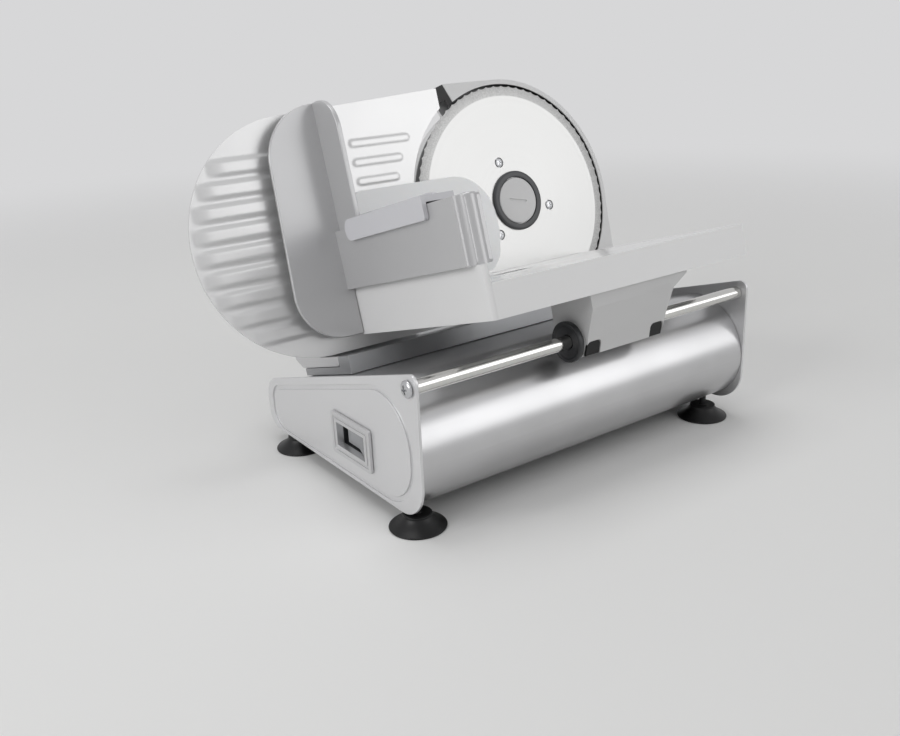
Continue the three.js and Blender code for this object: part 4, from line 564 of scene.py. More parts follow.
def housing_outline(inset, steps=60):
    rim, left_rim, foot = HOUSING_RIM - inset, HOUSING_LEFT_RIM - inset, PLATFORM_TOP + GAP + inset
    foot_left, right = FOOT_LEFT + inset, HOUSING_RIGHT - inset
    turn = degrees(acos((BLADE_X - foot_left) / left_rim))
    return [
        *arc(BLADE_CENTRE, rim, 0, 90, steps),
        (HOUSING_END + inset, BLADE_W + rim),
        (BLADE_X + cut_place[0], BLADE_W + cut_place[1] - inset),
        *arc(BLADE_CENTRE, left_rim, CUT_TURN, 180 + turn, steps),
        (foot_left, foot),
        (right, foot),
        (right, BLADE_W - CORNER_DROP),
    ]


# Pale grey ABS: injection moulded with a fine gloss. Inside the recess, behind the blade's edge, a near
# black painted shade darkens its colour. The borders of the painted shade are in millimetres from the blade's
# centre.
pale_housing_abs = grained("pale_housing_abs", "#E0E0E0", {"Roughness": 0.32}, 0.8, 0.004)
dish_tree = pale_housing_abs.node_tree
shift, turn, size = (Matrix.Translation((-BLADE_X, 0, -BLADE_W)) @ TILTED.inverted()).decompose()
dish_place = node(dish_tree, "Mapping", {"Location": shift, "Rotation": turn.to_euler(), "Scale": size},
                  {"Vector": node(dish_tree, "TexCoord", {}, {}).outputs["Object"]})
depth = node(dish_tree, "SeparateXYZ", {}, {0: dish_place}).outputs["Y"]
dish_point = node(dish_tree, "VectorMath", {"operation": "MULTIPLY", 1: (1, 0, 1)}, {0: dish_place})
dish_reach = node(dish_tree, "VectorMath", {"operation": "LENGTH"}, {0: dish_point})
end_low = Vector((cut_place[0], 0, cut_place[1]))
end_slope = Vector((HOUSING_END - BLADE_X, 0, HOUSING_RIM)) - end_low
end_facing = Vector((-end_slope.z, 0, end_slope.x)).normalized()
end_reach = end_facing.dot(end_low)
from_end = node(dish_tree, "VectorMath", {"operation": "DOT_PRODUCT", 1: end_facing}, {0: dish_point})
# Borders of the painted shade: the recess's radius, the slanted left end, and the depth behind the front
# face.
painted_shade_borders = [node(dish_tree, "MapRange", {"From Min": light, "From Max": dark}, {"Value": measure})
                for measure, light, dark in (
                    (dish_reach.outputs["Value"], RECESS_RADIUS + 1.2, RECESS_RADIUS + 0.6),
                    (from_end.outputs["Value"], end_reach - 0.6, end_reach - 0.3),
                    (depth, HOUSING_FRONT + 0.5, HOUSING_FRONT + 1.5),
                    (depth, HOUSING_BACK - 4, HOUSING_BACK - 6))]
painted_shade_share = painted_shade_borders[0]
for operation, border in zip(("MAXIMUM", "MULTIPLY", "MULTIPLY"), painted_shade_borders[1:]):
    painted_shade_share = node(dish_tree, "Math", {"operation": operation}, {0: painted_shade_share, 1: border})
dish_shader = dish_tree.nodes["Principled BSDF"]
# The painted shade: near black mixed into the colour where the recess lies in shade.
painted_shade_tone = node(dish_tree, "Mix", {"data_type": "RGBA", 7: colour("#232324")},
                 {0: painted_shade_share, 6: dish_shader.inputs["Base Color"].links[0].from_socket})
wired(dish_tree, dish_shader, {"Base Color": painted_shade_tone.outputs[2]})
housing = prism("blade_dish", housing_outline(0), "v", HOUSING_FRONT, HOUSING_BACK)
carved(housing,
       prism("housing_room", housing_outline(HOUSING_SHEET), "v", RECESS_BACK + HOUSING_SHEET,
             HOUSING_BACK + PAST),
       barrel("recess", RECESS_RADIUS, "v", HOUSING_FRONT - PAST, RECESS_BACK, BLADE_CENTRE, 160),
       barrel("spindle_hole", SPINDLE_HOLE, "v", RECESS_BACK - 1, HOUSING_BACK + PAST, BLADE_CENTRE))
dressed(housing, TILTED, pale_housing_abs, "base", "blade_housing", 0.7, 3, 40)

# Motor cover
# A pale moulded cover behind the housing, bulged over the motor and the worm wheel.
# Cooling slots cross its back, and four small pan head screws hold it.
COVER_SHEET = 3
BULGE_LEFT, BULGE_RIGHT, BULGE_FOOT, BULGE_TOP, BULGE_ROUND = 208, 343, 129, 240, 34
BULGE_STEPS = [(0, HOUSING_BACK + 1), (0, 61), (0.9, 63.3), (2.1, 65.4), (4.2, 66.6), (7, 67.3),
               (9, 67.4)]
ROOM_BACK, DEEP_ROOM_INSET, DEEP_ROOM_FRONT, DEEP_ROOM_BACK = 58.2, 10, 50, 65.2
VENTS, VENT_LEFT, VENT_STEP, VENT_WIDTH = 7, 269, 7.5, 3
VENT_FOOT, VENT_TOP, VENT_ROUND = 138.5, 172.5, 1.4
COVER_SCREW_TURNS = ((77, 141), (89, 62), (77, 219))
COVER_SCREW_CORNER = (HOUSING_RIGHT - 29.5, PLATFORM_TOP + 8.5)
COVER_SCREW_PROFILE = [(0, -14.3), (1.6, -14.3), (1.6, 0), (3.2, 0), (3.4, 0.3), (3.3, 1.1), (2.5, 1.7),
                       (0, 2)]


def bulge_outline(inset):
    return rectangle(BULGE_LEFT + inset, BULGE_RIGHT - inset, BULGE_FOOT + inset, BULGE_TOP - inset,
                     BULGE_ROUND - inset)


cover_back = HOUSING_BACK + GAP + COVER_SHEET
cover = prism("motor_shell", housing_outline(0, 40), "v", HOUSING_BACK + GAP, cover_back)
bulge = skinned("bulge", [[(x, back, w) for x, w in bulge_outline(inset)] for inset, back in BULGE_STEPS],
                capped=True)
carved(cover, bulge, operation="UNION")
vents = [prism("vent", rectangle(x, x + VENT_WIDTH, VENT_FOOT, VENT_TOP, VENT_ROUND), "v", BULGE_STEPS[1][1],
               BULGE_STEPS[-1][1] + PAST) for x in (VENT_LEFT + i * VENT_STEP for i in range(VENTS))]
carved(cover, prism("cover_room", bulge_outline(COVER_SHEET), "v", HOUSING_BACK - PAST, ROOM_BACK),
       prism("cover_room_back", bulge_outline(DEEP_ROOM_INSET), "v", DEEP_ROOM_FRONT, DEEP_ROOM_BACK))
carved(cover, *vents)
dressed(cover, TILTED, pale_housing_abs, "base", "motor_cover", 0.5, 2, 40)
cover_screw_places = [polar(BLADE_CENTRE, reach, turn) for reach, turn in COVER_SCREW_TURNS]
seat = cover_back + GAP
for number, place in enumerate([*cover_screw_places, COVER_SCREW_CORNER], 1):
    screw = turned(f"cover_fastener_{number}", raised(COVER_SCREW_PROFILE, seat), "v", place, 28)
    crossed(screw, "v", place, reach=1.9, half=0.35, low=seat + 0.9, high=seat + PAST)
    dressed(screw, TILTED, plated_screw_steel, "base", f"cover_screw_{number}", 0)

# Blade
# A 190 mm disc of hardened stainless steel with a scalloped edge, bevel ground on the front.
# Three countersunk screws and a plastic hub with a coin slot hold it to its carrier.
SCALLOPS, SCALLOP_STEPS, SCALLOP_DEPTH = 76, 6, 1.1
EDGE_RADIUS, BEVEL_RADIUS, BLADE_FRONT = 95, 86.5, -1.5
DISC_PROFILE = [(0, 5.3, 0), (0, 5.3, BLADE_FRONT), (0, 50, BLADE_FRONT),
                (0, BEVEL_RADIUS - 0.2, BLADE_FRONT), (0, BEVEL_RADIUS + 0.2, BLADE_FRONT + 0.03),
                (0.3, 91, -1), (1, EDGE_RADIUS, -0.3), (1, EDGE_RADIUS, 0), (0, 50, 0)]
SCREW_CIRCLE, SCREW_TURNS, SCREW_SEAT = 34.5, (108, -14, -133), 4.25
BLADE_SCREW_PROFILE = [(0, 4), (1.9, 4), (1.9, 0), (3.4, -1.3), (3.5, BLADE_FRONT), (3, -1.75), (1.8, -2),
                       (0, -2.1)]

# Blade steel: ground in circles, so its light gathers in spokes; the bevel is coarser and speckled.
# The circles are drawn some 2 mm apart, coarser than real grinding, so that they show.
blade_steel, blade_tree, blade_shader = new_material("ground_blade_steel", {
    "Base Color": colour("#C6C6C5"), "Metallic": 0.85, "Roughness": 0.34, "Anisotropic": 0.35})
blade_place = node(blade_tree, "TexCoord", {}, {}).outputs["Object"]
hub_centre = TILTED @ Vector((BLADE_X, BLADE_FRONT, BLADE_W))
from_hub = node(blade_tree, "VectorMath", {"operation": "SUBTRACT", 1: hub_centre}, {0: blade_place})
reach = node(blade_tree, "VectorMath", {"operation": "LENGTH"}, {0: from_hub}).outputs["Value"]
rings = node(blade_tree, "TexNoise", {"noise_dimensions": "1D", "Scale": 420, "Detail": 2}, {"W": reach})
speckle = node(blade_tree, "TexNoise", {"Scale": 900, "Detail": 2}, {"Vector": blade_place})
on_bevel = node(blade_tree, "MapRange", {
    "From Min": (BEVEL_RADIUS - 0.2) * MM, "From Max": (BEVEL_RADIUS + 0.3) * MM}, {"Value": reach})
blade_rough = node(blade_tree, "MapRange", {"To Min": 0.31, "To Max": 0.37}, {"Value": rings})
bevel_rough = node(blade_tree, "MapRange", {"To Min": 0.3, "To Max": 0.5}, {"Value": speckle})
rough_mix = node(blade_tree, "Mix", {"data_type": "FLOAT"}, {0: on_bevel, 2: blade_rough, 3: bevel_rough})
bevel_shade = node(blade_tree, "MapRange", {
    "From Min": 0.35, "From Max": 0.65, "To Min": 0.74, "To Max": 0.95}, {"Value": speckle})
bevel_tone = node(blade_tree, "Mix", {
    "data_type": "RGBA", "blend_type": "MULTIPLY", "Factor": 1, 6: colour("#C9C9C8")}, {7: bevel_shade})
blade_tone = node(blade_tree, "Mix", {"data_type": "RGBA", 6: colour("#C6C6C5")},
                  {0: on_bevel, 7: bevel_tone.outputs[2]})
blade_bump = node(blade_tree, "Bump", {"Strength": 0.08, "Distance": 0.01 * MM}, {"Height": rings})
round_hub = node(blade_tree, "Tangent", {"direction_type": "RADIAL", "axis": "Y"}, {})
wired(blade_tree, blade_shader, {
    "Roughness": rough_mix, "Base Color": blade_tone.outputs[2], "Normal": blade_bump, "Tangent": round_hub})

around = SCALLOPS * SCALLOP_STEPS
disc_rings = []
for share, radius, along in DISC_PROFILE:
    ring = []
    for k in range(around):
        across = (k % SCALLOP_STEPS) / SCALLOP_STEPS
        dip = SCALLOP_DEPTH * sin(pi * across) ** 0.6 if across else 0
        x, w = polar(BLADE_CENTRE, radius - share * dip, 360 * k / around)
        ring.append((x, along, w))
    disc_rings.append(ring)
blade = skinned("serrated_disc", disc_rings, looped=True)
blade_screw_places = [polar(BLADE_CENTRE, SCREW_CIRCLE, turn) for turn in SCREW_TURNS]
carved(blade, *[barrel("screw_seat", SCREW_SEAT, "v", -PAST, PAST, place, 32)
                for place in blade_screw_places])
dressed(blade, TILTED, blade_steel, "blade_unit", "blade", 0, 2, 20)
for number, place in enumerate(blade_screw_places, 1):
    screw = turned(f"countersunk_screw_{number}", BLADE_SCREW_PROFILE, "v", place, 32)
    crossed(screw, "v", place, reach=2, half=0.4, low=-PAST, high=-0.9)
    dressed(screw, TILTED, plated_screw_steel, "blade_unit", f"blade_screw_{number}", 0)

# Hub
# A ring of dark grey nylon screwed to the blade's carrier, round a light disc of acetal.
# A coin in the slot turns the disc a quarter and frees the blade.
HUB_RING_PROFILE = [(19.3, 0), (24.5, 0), (24.4, -1.2), (23.6, -1.8), (22.6, -2), (20.3, -2), (19.5, -1.7),
                    (19.3, 0)]
HUB_PROFILE = [(0, -1.3), (14.5, -1.35), (16.5, -1.6), (18.4, -1.5), (18.9, -1.1), (19, 0), (5, 0), (5, 6.2),
               (0, 6.2)]
COIN_SLOT_TURN, COIN_SLOT_FLOOR = 12, -0.5
hub_seat = BLADE_FRONT - GAP

# Dark grey nylon: glass filled, so its skin is slightly clouded and only half glossy.
dark_grey_nylon = grained("dark_grey_nylon", "#47484A", {"Roughness": 0.36}, 0.5, 0.006, 0.1)
hub_ring = turned("hub_collar", raised(HUB_RING_PROFILE, hub_seat), "v", BLADE_CENTRE, 96)
dressed(hub_ring, TILTED, dark_grey_nylon, "blade_unit", "hub_ring", 0)

# Light acetal: pale and smooth, with a soft wide highlight.
light_hub_acetal = grained("light_hub_acetal", "#DADADA", {"Roughness": 0.35}, 0.8, 0.01)
hub = turned("coin_disc", raised(HUB_PROFILE, hub_seat), "v", BLADE_CENTRE, 96)
coin_slot = prism("coin_slot", rectangle(-9, 9, -0.9, 0.9, 0.85), "v", hub_seat - PAST,
                  hub_seat + COIN_SLOT_FLOOR)
coin_slot.data.transform(Matrix.Translation((BLADE_X, 0, BLADE_W))
                         @ Matrix.Rotation(radians(COIN_SLOT_TURN), 4, "Y"))
carved(hub, coin_slot)
dressed(hub, TILTED, light_hub_acetal, "hub_lock_disc", "hub_lock", 0.2, 2)

# Gauge tower
# A silver painted box behind the gauge plate, with a barrel for the cam that moves the plate.
# Its skirt covers the platform's left end, and a black nylon lid closes its back.
TOWER_LEFT, TOWER_RIGHT, TOWER_FRONT, TOWER_BACK = PLATFORM_LEFT, 146, 25, 70
TOWER_FOOT, TOWER_TOP, TOWER_SHEET, TOWER_FLOOR, TOWER_EASE = PLATFORM_TOP + GAP, 188, 3, 115.3, 0.6
TOWER_ROOM_LEFT, LID_SHEET = 80, 2
KNOB_CENTRE, SHAFT_HOLE = (46, 155), 4.3
BARREL_RADIUS, BARREL_END, BARREL_ROOM, ROOM_START, ROOM_END = 28.5, 77, 25.6, 59, 86
ARM_SLOT = (65, 81, 11.5, KNOB_CENTRE[0], 150, 160.2)
SKIRT_OUTLINE = [(SKIRT_FRONT, SKIRT_BOTTOM, 3), (60, SKIRT_BOTTOM, 4), (70, 111.3, 0), (70, TOWER_FLOOR, 0),
                 (25, TOWER_FLOOR, 0), (25, PLATFORM_TOP, 0), (SKIRT_FRONT, PLATFORM_TOP, 0)]

tower = prism("tower_box", rectangle(TOWER_LEFT, TOWER_RIGHT, TOWER_FOOT, TOWER_TOP, 8), "v",
              TOWER_FRONT, TOWER_BACK)
skirt = prism("tower_skirt", rounded(SKIRT_OUTLINE), "x", TOWER_LEFT, TOWER_LEFT + SKIRT_SHEET)
cam_barrel = barrel("cam_barrel", BARREL_RADIUS, "x", TOWER_LEFT, BARREL_END, KNOB_CENTRE, 96)
for part in (tower, cam_barrel, skirt):
    eased(part, TOWER_EASE, 2)
carved(tower, cam_barrel, skirt, operation="UNION")
carved(tower,
       box("tower_room", TOWER_ROOM_LEFT, TOWER_RIGHT - TOWER_SHEET, TOWER_FRONT + TOWER_SHEET,
           TOWER_BACK + PAST, TOWER_FLOOR, TOWER_TOP - TOWER_SHEET),
       barrel("barrel_room", BARREL_ROOM, "x", ROOM_START, ROOM_END, KNOB_CENTRE, 96),
       box("arm_slot", *ARM_SLOT),
       barrel("shaft_hole", SHAFT_HOLE, "x", TOWER_LEFT - PAST, ROOM_START + 3, KNOB_CENTRE, 32))
dressed(tower, TILTED, silver_painted_abs, "base", "gauge_tower", 0, 2, 40)

# Black nylon: glass filled, a deep grey with a dry, slightly rough skin.
black_nylon = grained("black_nylon", "#2A2B2D", {"Roughness": 0.42}, 0.5, 0.02, 0.1)
tower_lid = prism("tower_lid", rectangle(
    TOWER_ROOM_LEFT + GAP, TOWER_RIGHT - TOWER_SHEET - GAP, TOWER_FLOOR + GAP,
    TOWER_TOP - TOWER_SHEET - GAP), "v", TOWER_BACK - LID_SHEET, TOWER_BACK)
dressed(tower_lid, TILTED, black_nylon, "base", "tower_cover", 0.4)

# Thickness knob
# A black nylon knob on the tower's left side, moulded with fourteen finger flutes.
# It is pressed on the shaft of the cam and turns it.
FLUTES, FLUTE_DEPTH, KNOB_STEPS = 14, 1.7, 168
KNOB_PROFILE = [(0, 34, 0), (17, 34, 0), (18.5, 33.2, 0), (21.6, 32.4, 0.6), (23.4, 33.2, 0.9),
                (24, 34.6, 1), (24, 49.6, 1), (24, 51.2, 0), (25.6, 51.5, 0), (26, 52.2, 0), (26, 55.4, 0),
                (SHAFT_HOLE, 55.4, 0), (SHAFT_HOLE, 41.7, 0), (0, 41.7, 0)]
knob_rings = []
for radius, along, share in KNOB_PROFILE:
    ring = []
    for k in range(KNOB_STEPS if radius else 1):
        dip = FLUTE_DEPTH * max(0, cos(2 * pi * FLUTES * k / KNOB_STEPS)) ** 0.8
        ring.append((along, *polar(KNOB_CENTRE, radius - share * dip, 360 * k / KNOB_STEPS)))
    knob_rings.append(ring)
dressed(skinned("fluted_knob", knob_rings), TILTED, black_nylon, "knob", "thickness_knob", 0)

# Gauge plate
# Pressed and anodised aluminium sheet that the food slides along, screwed to its carrier behind.
# Its raised ribs cut the drag of wet food; the right edge follows the blade.
GAUGE_FRONT, GAUGE_SHEET, GAUGE_X, GAUGE_W, GAUGE_RADIUS = -1, 2, 55.5, 201.2, 87.55
GAUGE_TURN, GAUGE_FOOT, GAUGE_CORNER = 93.5, 113.5, (194.5, 297.4)
GAP_RADIUS, GAP_TURN, GAP_CORNER = 100, 123.5, (6.5, 3)
RIB_HEIGHT, RIB_HALF, RIB_FADE, RIB_FLANK = 1.2, 7, 14, 0.6
LEFT_RIBS, LEFT_RIB_TOP, LEFT_RIB_STEP, LEFT_RIB_REACH, LEFT_RIB_END = 9, 56.3, 15, 85.5, 92
RIGHT_RIBS, RIGHT_RIB_TOP, RIGHT_RIB_STEP, RIGHT_RIB_HALF = 3, 262.7, 14.2, 3.7
RIGHT_RIB_START, RIGHT_RIB_GAP = 104, 16.5
GRID_LEFT, GRID_STEP, GRID_COLUMNS, GRID_FOOT, GRID_ROWS = -34, 1.25, 182, 112, 188

ribs = []
for i in range(LEFT_RIBS):
    rise = LEFT_RIB_TOP - i * LEFT_RIB_STEP
    ribs.append((GAUGE_X - sqrt(LEFT_RIB_REACH ** 2 - rise ** 2), LEFT_RIB_END, GAUGE_W + rise, RIB_HALF,
                 RIB_FADE))
for i in range(RIGHT_RIBS):
    rib_w = RIGHT_RIB_TOP - i * RIGHT_RIB_STEP
    rib_end = BLADE_X - sqrt(GAP_RADIUS ** 2 - (rib_w - BLADE_W) ** 2) - RIGHT_RIB_GAP
    ribs.append((RIGHT_RIB_START + RIGHT_RIB_HALF, rib_end, rib_w, RIGHT_RIB_HALF, 0))


def rib_rise(x, w):
    """Height of the pressed ribs at a place of the sheet, with soft flanks."""
    best = 0
    for start, end, middle, half, fade in ribs:
        across = hypot(x - min(max(x, start), end), w - middle) / half
        if across < 1:
            flank = min((1 - across) / RIB_FLANK, 1)
            swell = min(max((x - start) / fade, 0), 1) if fade else 1
            lift = half / RIB_HALF * flank * flank * (3 - 2 * flank) * sin(swell * pi / 2)
            best = max(best, lift)
    return RIB_HEIGHT * best


sheet = bmesh.new()
columns = [GRID_LEFT + i * GRID_STEP for i in range(GRID_COLUMNS)]
rows = [GRID_FOOT + i for i in range(GRID_ROWS)]
front_grid = [[sheet.verts.new((x, GAUGE_FRONT - rib_rise(x, w), w)) for w in rows] for x in columns]
back_ring = [sheet.verts.new((x, GAUGE_FRONT + GAUGE_SHEET, w)) for x, w in
             ((columns[0], rows[0]), (columns[-1], rows[0]), (columns[-1], rows[-1]), (columns[0], rows[-1]))]
for near, far in zip(front_grid, front_grid[1:]):
    for j in range(GRID_ROWS - 1):
        sheet.faces.new((near[j], far[j], far[j + 1], near[j + 1]))
sheet.faces.new(back_ring)
sheet.faces.new([*[column[0] for column in front_grid], back_ring[1], back_ring[0]])
sheet.faces.new([*front_grid[-1], back_ring[2], back_ring[1]])
sheet.faces.new([*[column[-1] for column in reversed(front_grid)], back_ring[3], back_ring[2]])
sheet.faces.new([*reversed(front_grid[0]), back_ring[0], back_ring[3]])
gauge = new_piece("ribbed_sheet", sheet)
foot_turn = 180 + degrees(asin((BLADE_W - GAUGE_FOOT) / GAP_RADIUS))
gap_x, gap_w = polar(BLADE_CENTRE, GAP_RADIUS, GAP_TURN)
gauge_cutter = prism("gauge_cutter", [
    *arc((GAUGE_X, GAUGE_W), GAUGE_RADIUS, GAUGE_TURN, 270, 90),
    *arc(BLADE_CENTRE, GAP_RADIUS, foot_turn, GAP_TURN, 60),
    (gap_x + GAP_CORNER[0], gap_w + GAP_CORNER[1]),
    GAUGE_CORNER,
], "v", -PAST, PAST)
carved(gauge, gauge_cutter, operation="INTERSECT")

# Satin aluminium sheet: pressed, deburred and anodised, with a pale even gleam.
pressed_aluminium = grained("pressed_aluminium", "#DCDCDC", {"Metallic": 0.6, "Roughness": 0.33}, 0.6, 0.012)
dressed(gauge, TILTED, pressed_aluminium, "gauge", "gauge_plate", 0, 2, 40)

# Carriage tray
# A pale moulded tray that slides on the rod below it and carries the food.
# It is one piece: table, front strip, right end and the lower left wall.
TRAY_LEFT, TRAY_RIGHT, TRAY_FRONT, TRAY_BACK, TRAY_TOP, STRIP_BOTTOM = 77, 309, -175, -3, 146, 123.7
TRAY_SHEET, TRAY_ROUND, END_SHEET, WALL_SHEET, WALL_BACK = 2.5, 3.5, 5, 3, -10.5
BEAM_BOTTOM, BEAM_TOP = 158, 200.5
TABLE_SLOT, SLOT_ROUND, SLOT_MARGIN, SLOT_ROOF, SLOT_DEPTH = (163, 193, -80, -58), 4, 5, 0.9, 9


def tray_plan(inset):
    left, right, front, back = TRAY_LEFT + inset, TRAY_RIGHT - inset, TRAY_FRONT + inset, TRAY_BACK - inset
    return rounded([(left, front, TRAY_ROUND - inset), (right, front, 0), (right, back, 0),
                    (left, back, 0)], 10)


# Pale tray ABS: glossy, so the table mirrors the plate and the beam softly.
pale_tray_abs = grained("pale_tray_abs", "#E4E4E4", {
    "Roughness": 0.22, "Coat Weight": 0.3, "Coat Roughness": 0.1}, 1.5, 0.0015)
slot_x0, slot_x1, slot_v0, slot_v1 = TABLE_SLOT
under_tray, beyond_right = STRIP_BOTTOM - PAST, TRAY_RIGHT + PAST
tray = prism("tray_shell", tray_plan(0), "w", STRIP_BOTTOM, TRAY_TOP)
carved(tray, prism("tray_room", tray_plan(TRAY_SHEET), "w", under_tray, TRAY_TOP - TRAY_SHEET),
       box("tray_rear", TRAY_LEFT - PAST, beyond_right, WALL_BACK, PAST, under_tray,
           TRAY_TOP - TRAY_SHEET),
       box("under_end", TRAY_RIGHT - END_SHEET, beyond_right, TRAY_FRONT + END_SHEET, PAST, under_tray,
           STRIP_BOTTOM + PAST),
       prism("table_slot", rectangle(*TABLE_SLOT, SLOT_ROUND), "w", TRAY_TOP - SLOT_DEPTH, TRAY_TOP + PAST),
       prism("slot_room", rectangle(slot_x0 - SLOT_MARGIN, slot_x1 + SLOT_MARGIN, slot_v0 - SLOT_MARGIN,
                                    slot_v1 + SLOT_MARGIN, SLOT_ROUND + 2), "w", TRAY_TOP - SLOT_DEPTH,
             TRAY_TOP - SLOT_ROOF))
wall = prism("wall", tray_plan(0), "w", STRIP_BOTTOM, BEAM_BOTTOM - GAP)
carved(wall, prism("wall_room", tray_plan(WALL_SHEET), "w", under_tray, BEAM_BOTTOM + PAST),
       box("wall_end", TRAY_LEFT + WALL_SHEET, beyond_right, TRAY_FRONT - PAST, PAST, under_tray,
           BEAM_BOTTOM + PAST),
       box("wall_rear", TRAY_LEFT - PAST, beyond_right, WALL_BACK, PAST, under_tray,
           BEAM_BOTTOM + PAST))
carved(tray, wall, operation="UNION")
dressed(tray, TILTED, pale_tray_abs, "carriage", "carriage_tray", 0.45, 3)

# Thumb guard
# One grey glossy moulding that keeps the hand off the blade, screwed on the tray's left wall.
# It has a shield, a fin and a hollow beam along the tray, which ends in a flute and a round column.
BEAM_LEFT, BEAM_RIGHT, BEAM_FRONT, GUARD_V, GUARD_TOP = 71, 89, -169.5, -13.5, 292.5
GUARD_SHEET, SHIELD_FOOT, SHIELD_RIGHT = 3, 124.7, BEAM_RIGHT - 1
SHIELD_OUTLINE = [
    (27.5, SHIELD_FOOT, 35), (TRAY_LEFT - GAP, SHIELD_FOOT, 0), (TRAY_LEFT - GAP, BEAM_BOTTOM, 0),
    (SHIELD_RIGHT, BEAM_BOTTOM, 0), (SHIELD_RIGHT, GUARD_TOP - 42, 12), (SHIELD_RIGHT - 6, GUARD_TOP, 6),
    (34.5, GUARD_TOP, 42)]
FIN_LEFT, FIN_RIGHT = 75, 78.5
FIN_OUTLINE = [(GUARD_V + 1, BEAM_BOTTOM, 0), (-41, BEAM_BOTTOM, 0), (-42.5, GUARD_TOP, 24),
               (GUARD_V + 1, GUARD_TOP, 0)]
FLUTE_RADIUS, FLUTE_PLACE, COLUMN_PLACE = 4.5, (72.5, BEAM_FRONT - 1), (82, BEAM_FRONT + 5)
COLUMN_PROFILE = [(0, BEAM_BOTTOM), (6.5, BEAM_BOTTOM), (6.5, BEAM_TOP - 1.2), (6.1, BEAM_TOP + 0.1),
                  (5, BEAM_TOP + 0.7), (3.4, BEAM_TOP + 0.9), (0, BEAM_TOP + 0.9)]

# Glossy grey ABS: a polished mould leaves it smooth enough to mirror.
glossy_guard_abs = grained("glossy_guard_abs", "#C3C3C4", {
    "Metallic": 0.35, "Roughness": 0.32, "Coat Weight": 0.3, "Coat Roughness": 0.08}, 2, 0)
guard = prism("guard_shield", rounded(SHIELD_OUTLINE, 20), "v", GUARD_V, GUARD_V + GUARD_SHEET)
fin = prism("guard_fin", rounded(FIN_OUTLINE, 20), "x", FIN_LEFT, FIN_RIGHT)
beam = prism("guard_beam", rectangle(BEAM_FRONT, GUARD_V + 1, BEAM_BOTTOM, BEAM_TOP, 2), "x",
             BEAM_LEFT, BEAM_RIGHT)
carved(beam,
       box("beam_room", BEAM_LEFT + GUARD_SHEET, BEAM_RIGHT - GUARD_SHEET, BEAM_FRONT + 8,
           GUARD_V - GUARD_SHEET, BEAM_BOTTOM - PAST, BEAM_TOP - GUARD_SHEET),
       barrel("flute", FLUTE_RADIUS, "w", BEAM_BOTTOM - PAST, BEAM_TOP + PAST, FLUTE_PLACE))
column = turned("column", COLUMN_PROFILE, "w", COLUMN_PLACE)
carved(eased(guard, 0.8), eased(fin, 0.6), eased(beam, 0.6), column, operation="UNION")
dressed(guard, TILTED, glossy_guard_abs, "carriage", "thumb_guard", 0, 3, 40)

# Slide bracket
# A pale moulded foot screwed under the strip, which hangs the tray on the rod.
# Its face leans back, and a bored boss across it holds the slide bushes.
BRACKET_LEFT, BRACKET_LENGTH, BRACKET_TOP, BRACKET_HEIGHT = 155, 66, 123.4, 39.4
BRACKET_FRONT, BRACKET_DEPTH, BOSS_RADIUS, BUSH_HOLE, FLANGE_ROOM = -172, 41, 12.5, 7.3, 10.8
BRACKET_RIGHT, BRACKET_BOTTOM = BRACKET_LEFT + BRACKET_LENGTH, BRACKET_TOP - BRACKET_HEIGHT
FACE_SHARES = [(0.03, 0), (0.03, 0.21), (0.008, 0.645), (0.023, 1), (1.09, 1), (1.114, 0.645), (1.173, 0.228),
               (1.402, 0.036), (1.41, 0)]
SIDE_SHARES = [(0, 0), (0, 0.226), (0.34, 1), (0.66, 1), (1, 0.66), (1, 0)]
PAD_SIDE, PAD_FOOT, PAD_TOP, PAD_ROUND, PAD_BACK, PAD_SINK = 12, -3.2, 9, 3, 2.7, 0.5
PAD_LEFTS = {"left": BRACKET_LEFT + 1, "right": BRACKET_RIGHT + 6 - PAD_SIDE}


def leaning(name, back):
    """The bracket's outline from its side, set back by a distance and wider than the bracket."""
    return prism(name, [(BRACKET_FRONT + along * BRACKET_DEPTH + back, BRACKET_TOP - down * BRACKET_HEIGHT)
                        for along, down in SIDE_SHARES], "x", BRACKET_LEFT - PAST,
                 BRACKET_LEFT + 2 * BRACKET_LENGTH)


def corner_pad(name, left, margin):
    pad = prism(name, rectangle(left - margin, left + PAD_SIDE + margin, BRACKET_BOTTOM + PAD_FOOT - margin,
                                BRACKET_BOTTOM + PAD_TOP + margin, PAD_ROUND), "v",
                BRACKET_FRONT - PAST, ROD_V)
    return carved(pad, leaning("behind", PAD_BACK + margin))


# Bracket ABS: the same resin as the tray with a duller, finely eroded skin; its colour is painted darker than
# the tray's, a painted shade for its face set back under the strip.
painted_shade_bracket_abs = grained("painted_shade_bracket_abs", "#CECECE", {"Roughness": 0.45}, 0.5, 0.02)
bracket = prism("bracket_body", [(BRACKET_LEFT + across * BRACKET_LENGTH, BRACKET_TOP - down * BRACKET_HEIGHT)
                                 for across, down in FACE_SHARES], "v", BRACKET_FRONT,
                BRACKET_FRONT + BRACKET_DEPTH)
carved(bracket, leaning("lean", 0), operation="INTERSECT")
carved(bracket, barrel("boss", BOSS_RADIUS, "x", BRACKET_LEFT, BRACKET_RIGHT, ROD_CENTRE), operation="UNION")
carved(bracket,
       barrel("bush_room", BUSH_HOLE, "x", BRACKET_LEFT - PAST, BRACKET_RIGHT + PAST, ROD_CENTRE),
       barrel("flange_room", FLANGE_ROOM, "x", BRACKET_RIGHT, BRACKET_RIGHT + BRACKET_LENGTH, ROD_CENTRE),
       *[corner_pad("pad_room", left, GAP) for left in PAD_LEFTS.values()])
dressed(bracket, TILTED, painted_shade_bracket_abs, "carriage", "slide_bracket", 0.6, 3)

